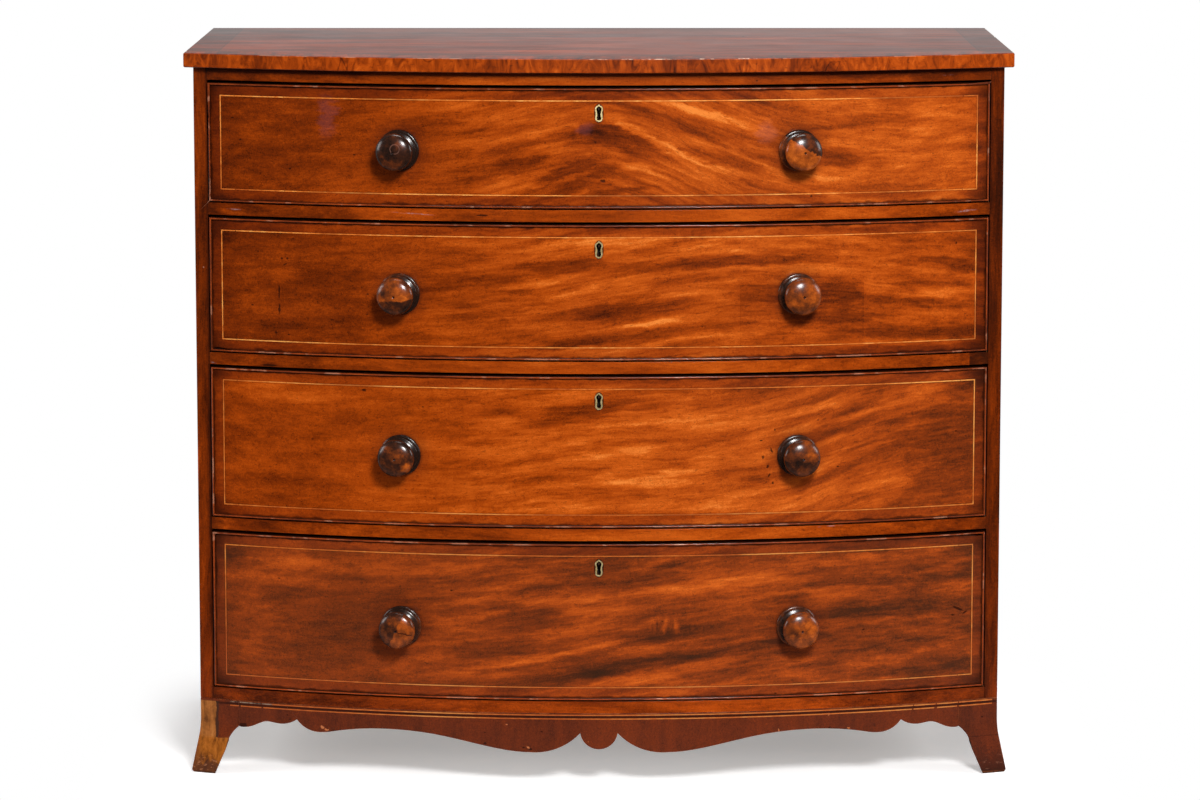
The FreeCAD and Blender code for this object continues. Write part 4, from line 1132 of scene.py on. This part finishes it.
# Each drawer's left and right knob, as knob_mahogany takes them
KNOB_LOOKS = {
    1: (dict(level=0.12, patches=((0, -15, 16, 9, 0.12), (8, -6, 9, 6, 0.06)), rings=True),
        dict(level=0.16, split=(-120.5, -5.5, 0.59), patches=((-4, -9, 9, 5, 0.06),))),
    2: (dict(level=0.43, split=(-84, 5, 0.16), patches=((8, -1, 12, 4, 0.20), (-10, 4, 8, 6, -0.10))),
        dict(level=0.41, patches=((8, -2, 10, 6, 0.14), (0, -16, 22, 6, -0.10)))),
    3: (dict(level=0.20, patches=((14, -11, 9, 8, 0.34), (2, 2, 14, 8, 0.18), (-8, 12, 9, 6, 0.14))),
        dict(level=0.34, split=(-90, 3, 0.18), patches=((2, 4, 22, 6, 0.10), (-2, 0, 4, 3, -0.2)))),
    4: (dict(level=0.18, split=(-24, 0, 0.43), crack=True, patches=((-3, 12, 9, 6, 0.16),)),
        dict(level=0.44, patches=((0, 8, 14, 7, 0.10), (8, -6, 9, 8, 0.08), (-12, -8, 9, 8, -0.12)))),
}
knob_reach = 38                           # from the bowed face to the face of the head


def make_knobs(number, shape):
    """Left and right knob of a drawer, square to the bowed face, each with its own wood."""
    body = "drawer_%d" % number
    for side, where, look in zip((-1, 1), ("left", "right"), KNOB_LOOKS[number]):
        foot = Vector((side * knob_place, bow_y(knob_place), knob_heights[number - 1]))
        name = "%s_%s_knob" % (body, where)
        mesh = shape.copy()
        mesh.transform(Matrix.Translation(foot * MM) @ Matrix.Rotation(side * knob_tilt, 4, "Z"))
        face = foot + Vector((math.sin(side * knob_tilt) * knob_reach, 0, 0))
        finished(new_object(name, mesh), body,
                 knob_mahogany(name + "_wood", face, **look), [body + "_knobs"])


def dress_drawers(lines, string):
    screws = screw_maker()
    bead, steel = bead_mahogany(), bolt_steel()
    side_oak = plain_wood("drawer_side_oak", "y", 4.1, (118, 74, 42), (184, 128, 80))
    back_oak = plain_wood("drawer_back_oak", "x", 5.3, (114, 70, 40), (180, 124, 78))
    knob = turned("knob_shape", knob_profile())
    # node, the name of its copy, slot, material, and how far its edges are eased
    parts = (("left_side", "left_side_board", "aged_oak", side_oak, 0.3),
             ("right_side", "right_side_board", "aged_oak", side_oak, 0.3),
             ("back", "back_board", "aged_oak", back_oak, 0.3),
             ("escutcheon", "keyhole_thread", "old_brass", thread_brass(), 0.3),
             ("lock", "lock_case", "lock_iron", lock_iron(), 0.4))
    for number in FIGURES:
        body = "drawer_%d" % number
        name = body + "_"
        low, high = node_box(name + "front")
        stand_in(name + "front", name + "bowed_front", body,
                 front_veneer(number), 0, bowed=True)
        stand_in(name + "cockbead", name + "bead", body, bead, 0.45,
                 segments=3)
        line = lines.make(name + "stringing",
                          dict(Left=low.x + string_inset, Right=high.x - string_inset,
                               Bottom=low.z + string_inset, Top=high.z - string_inset,
                               **string_sizes), Uprights=True, Material=string)
        finished(line, body, string)
        for node, piece, slot, material, ease in parts:
            stand_in(name + node, name + piece, body, material, ease)
        stand_in(name + "lock_bolt", name + "bolt", "lock_bolt_%d" % number,
                 steel, 0.4)
        recolour(name + "bottom", back_oak)
        make_knobs(number, knob)
        lock_low, lock_high = node_box(name + "lock")
        centre = Vector((0, lock_high.y + 0.2, (lock_low.z + lock_high.z) / 2)) * MM
        heads = screws.make(name + "lock_screws", dict(Across=54, Up=34, Head=3.2, Thickness=0.9),
                            Columns=2, Rows=2, Centre=tuple(centre), Facing=(0.0, 1.0, 0.0),
                            Slotted=True, Seed=number, Material=steel)
        finished(heads, body, steel)


def dress_plinth_line(lines, string):
    """Pair of lines across apron and feet, with dark wood between them."""
    pair = lines.make("apron_stringing",
                      dict(Left=-487, Right=half_carcase - 8, Bottom=foot_height - 7.5,
                           Top=foot_height - 2.5, **string_sizes),
                      Uprights=False, Material=string)
    finished(pair, "carcase", string)


# ---- studio ------------------------------------------------------------------------------------
def make_floor():
    """Pale floor that keeps the shadow near the chest and is plain white further off."""
    left, right, front, back = -1.0, 1.0, -0.6, 0.9
    shape = bmesh.new()
    shape.faces.new([shape.verts.new(place) for place in ((left, front, 0), (right, front, 0),
                                                          (right, back, 0), (left, back, 0))])
    floor = new_object("studio_floor", as_mesh(shape, "studio_floor"))
    f = Finish("floor_paint")

    def diffuse(*shade):
        return f.add("ShaderNodeBsdfDiffuse", {"Color": (*shade, 1)}).outputs[0]

    def glow(strength):
        return f.add("ShaderNodeEmission", {"Color": (1, 1, 1, 1), "Strength": strength}).outputs[0]

    def mixed(amount, one, two):
        return f.add("ShaderNodeMixShader", {"Fac": amount, 1: one, 2: two}).outputs[0]

    paint = diffuse(0.9, 0.9, 0.9)
    # the camera alone sees a glow on the paint, stronger towards the front: painted light that fades
    # the chest's shadow towards the front
    lifted = f.add("ShaderNodeAddShader",
                   {0: paint, 1: glow(f.rise(f.y, -340, 20, 0.56, 0.27))}).outputs[0]
    beside = f.most(f.less(f.away(f.x), half_width), 0.0)
    before = f.most(f.less(f.away(f.y), half_depth), 0.0)
    further = f.math("SQRT", f.total(f.times(beside, beside, 5.0), f.times(before, before)))
    path = f.add("ShaderNodeLightPath").outputs
    seen = path["Is Camera Ray"]
    # in glossy rays the floor before the chest shows a dark grey instead of its pale paint: a painted
    # darkness in the reflections
    unseen = mixed(f.times(path["Is Glossy Ray"], f.fall(f.y, -50, 250)), paint,
                   diffuse(0.16, 0.15, 0.14))
    near = mixed(seen, unseen, lifted)
    whole = mixed(f.times(f.rise(further, 0, 300), seen), near, glow(1.0))
    floor.data.materials.append(f.output(whole))


def make_world():
    """White backdrop behind the chest, a dim room before it, and soft even light."""
    world = bpy.data.worlds.new("studio")
    bpy.context.scene.world = world
    world.use_nodes = True
    n = Nodes(world.node_tree)
    n.tree.nodes.clear()
    path = n.add("ShaderNodeLightPath").outputs
    behind = n.parts(n.add("ShaderNodeTexCoord").outputs["Generated"])[1]

    def mixed(amount, one, two):
        return n.add("ShaderNodeMix", {0: amount, 2: one, 3: two}, data_type="FLOAT").outputs[0]

    room = mixed(path["Is Glossy Ray"], 0.12, n.rise(behind, -0.1, 0.5, 0.04, 0.82))
    light = n.add("ShaderNodeBackground", {"Color": (1, 1, 1, 1),
                                           "Strength": mixed(path["Is Camera Ray"], room, 1.0)})
    n.add("ShaderNodeOutputWorld", {"Surface": light.outputs[0]})


def make_lights():
    # place and target in metres, width and height in metres, power in watts
    for name, place, target, width, height, power in (
            ("key_box", (0.9, -4.2, 3.0), (0, -0.25, 0.55), 0.9, 0.9, 220),
            ("left_strip", (-3.2, -0.6, 1.6), (0, -0.2, 0.5), 1.3, 1.3, 36),
            ("right_strip", (3.2, -0.6, 1.6), (0, -0.2, 0.5), 1.3, 1.3, 36),
            ("overhead", (0, 0.2, 6.0), (0, 0, 0), 2.5, 2.0, 140),
            ("rear_fill", (0, 3.6, 0.6), (0, 0.3, 0.5), 2.2, 0.7, 55)):
        lamp = bpy.data.lights.new(name, "AREA")
        lamp.shape = "RECTANGLE"
        lamp.size = width
        lamp.size_y = height
        lamp.energy = power
        holder = new_object(name, lamp)
        holder.location = place
        holder.rotation_euler = (Vector(target) - Vector(place)).to_track_quat("-Z", "Y").to_euler()


def make_camera():
    """Long lens, a little above the chest and looking slightly down at it."""
    focal, picture_width = 4618.1, 1200   # pixels
    pitch = math.radians(7.854)
    aside, before_corners, eye_height = 1.44 * MM, 6.0, 1.4051
    lens = bpy.data.cameras.new("studio_camera")
    lens.sensor_width = 36.0
    lens.lens = focal / picture_width * lens.sensor_width
    lens.shift_y = -0.05
    lens.clip_end = 60
    camera = new_object("studio_camera", lens)
    camera.location = (aside, (bow_front + bow_depth) * MM - before_corners, eye_height)
    camera.rotation_euler = (math.pi / 2 - pitch, 0, 0)
    bpy.context.scene.camera = camera


make_camera()
lines, string = line_maker(), string_line()
dress_carcase()
dress_drawers(lines, string)
dress_plinth_line(lines, string)
make_floor()
make_world()
make_lights()
bpy.context.scene.view_settings.view_transform = "Standard"
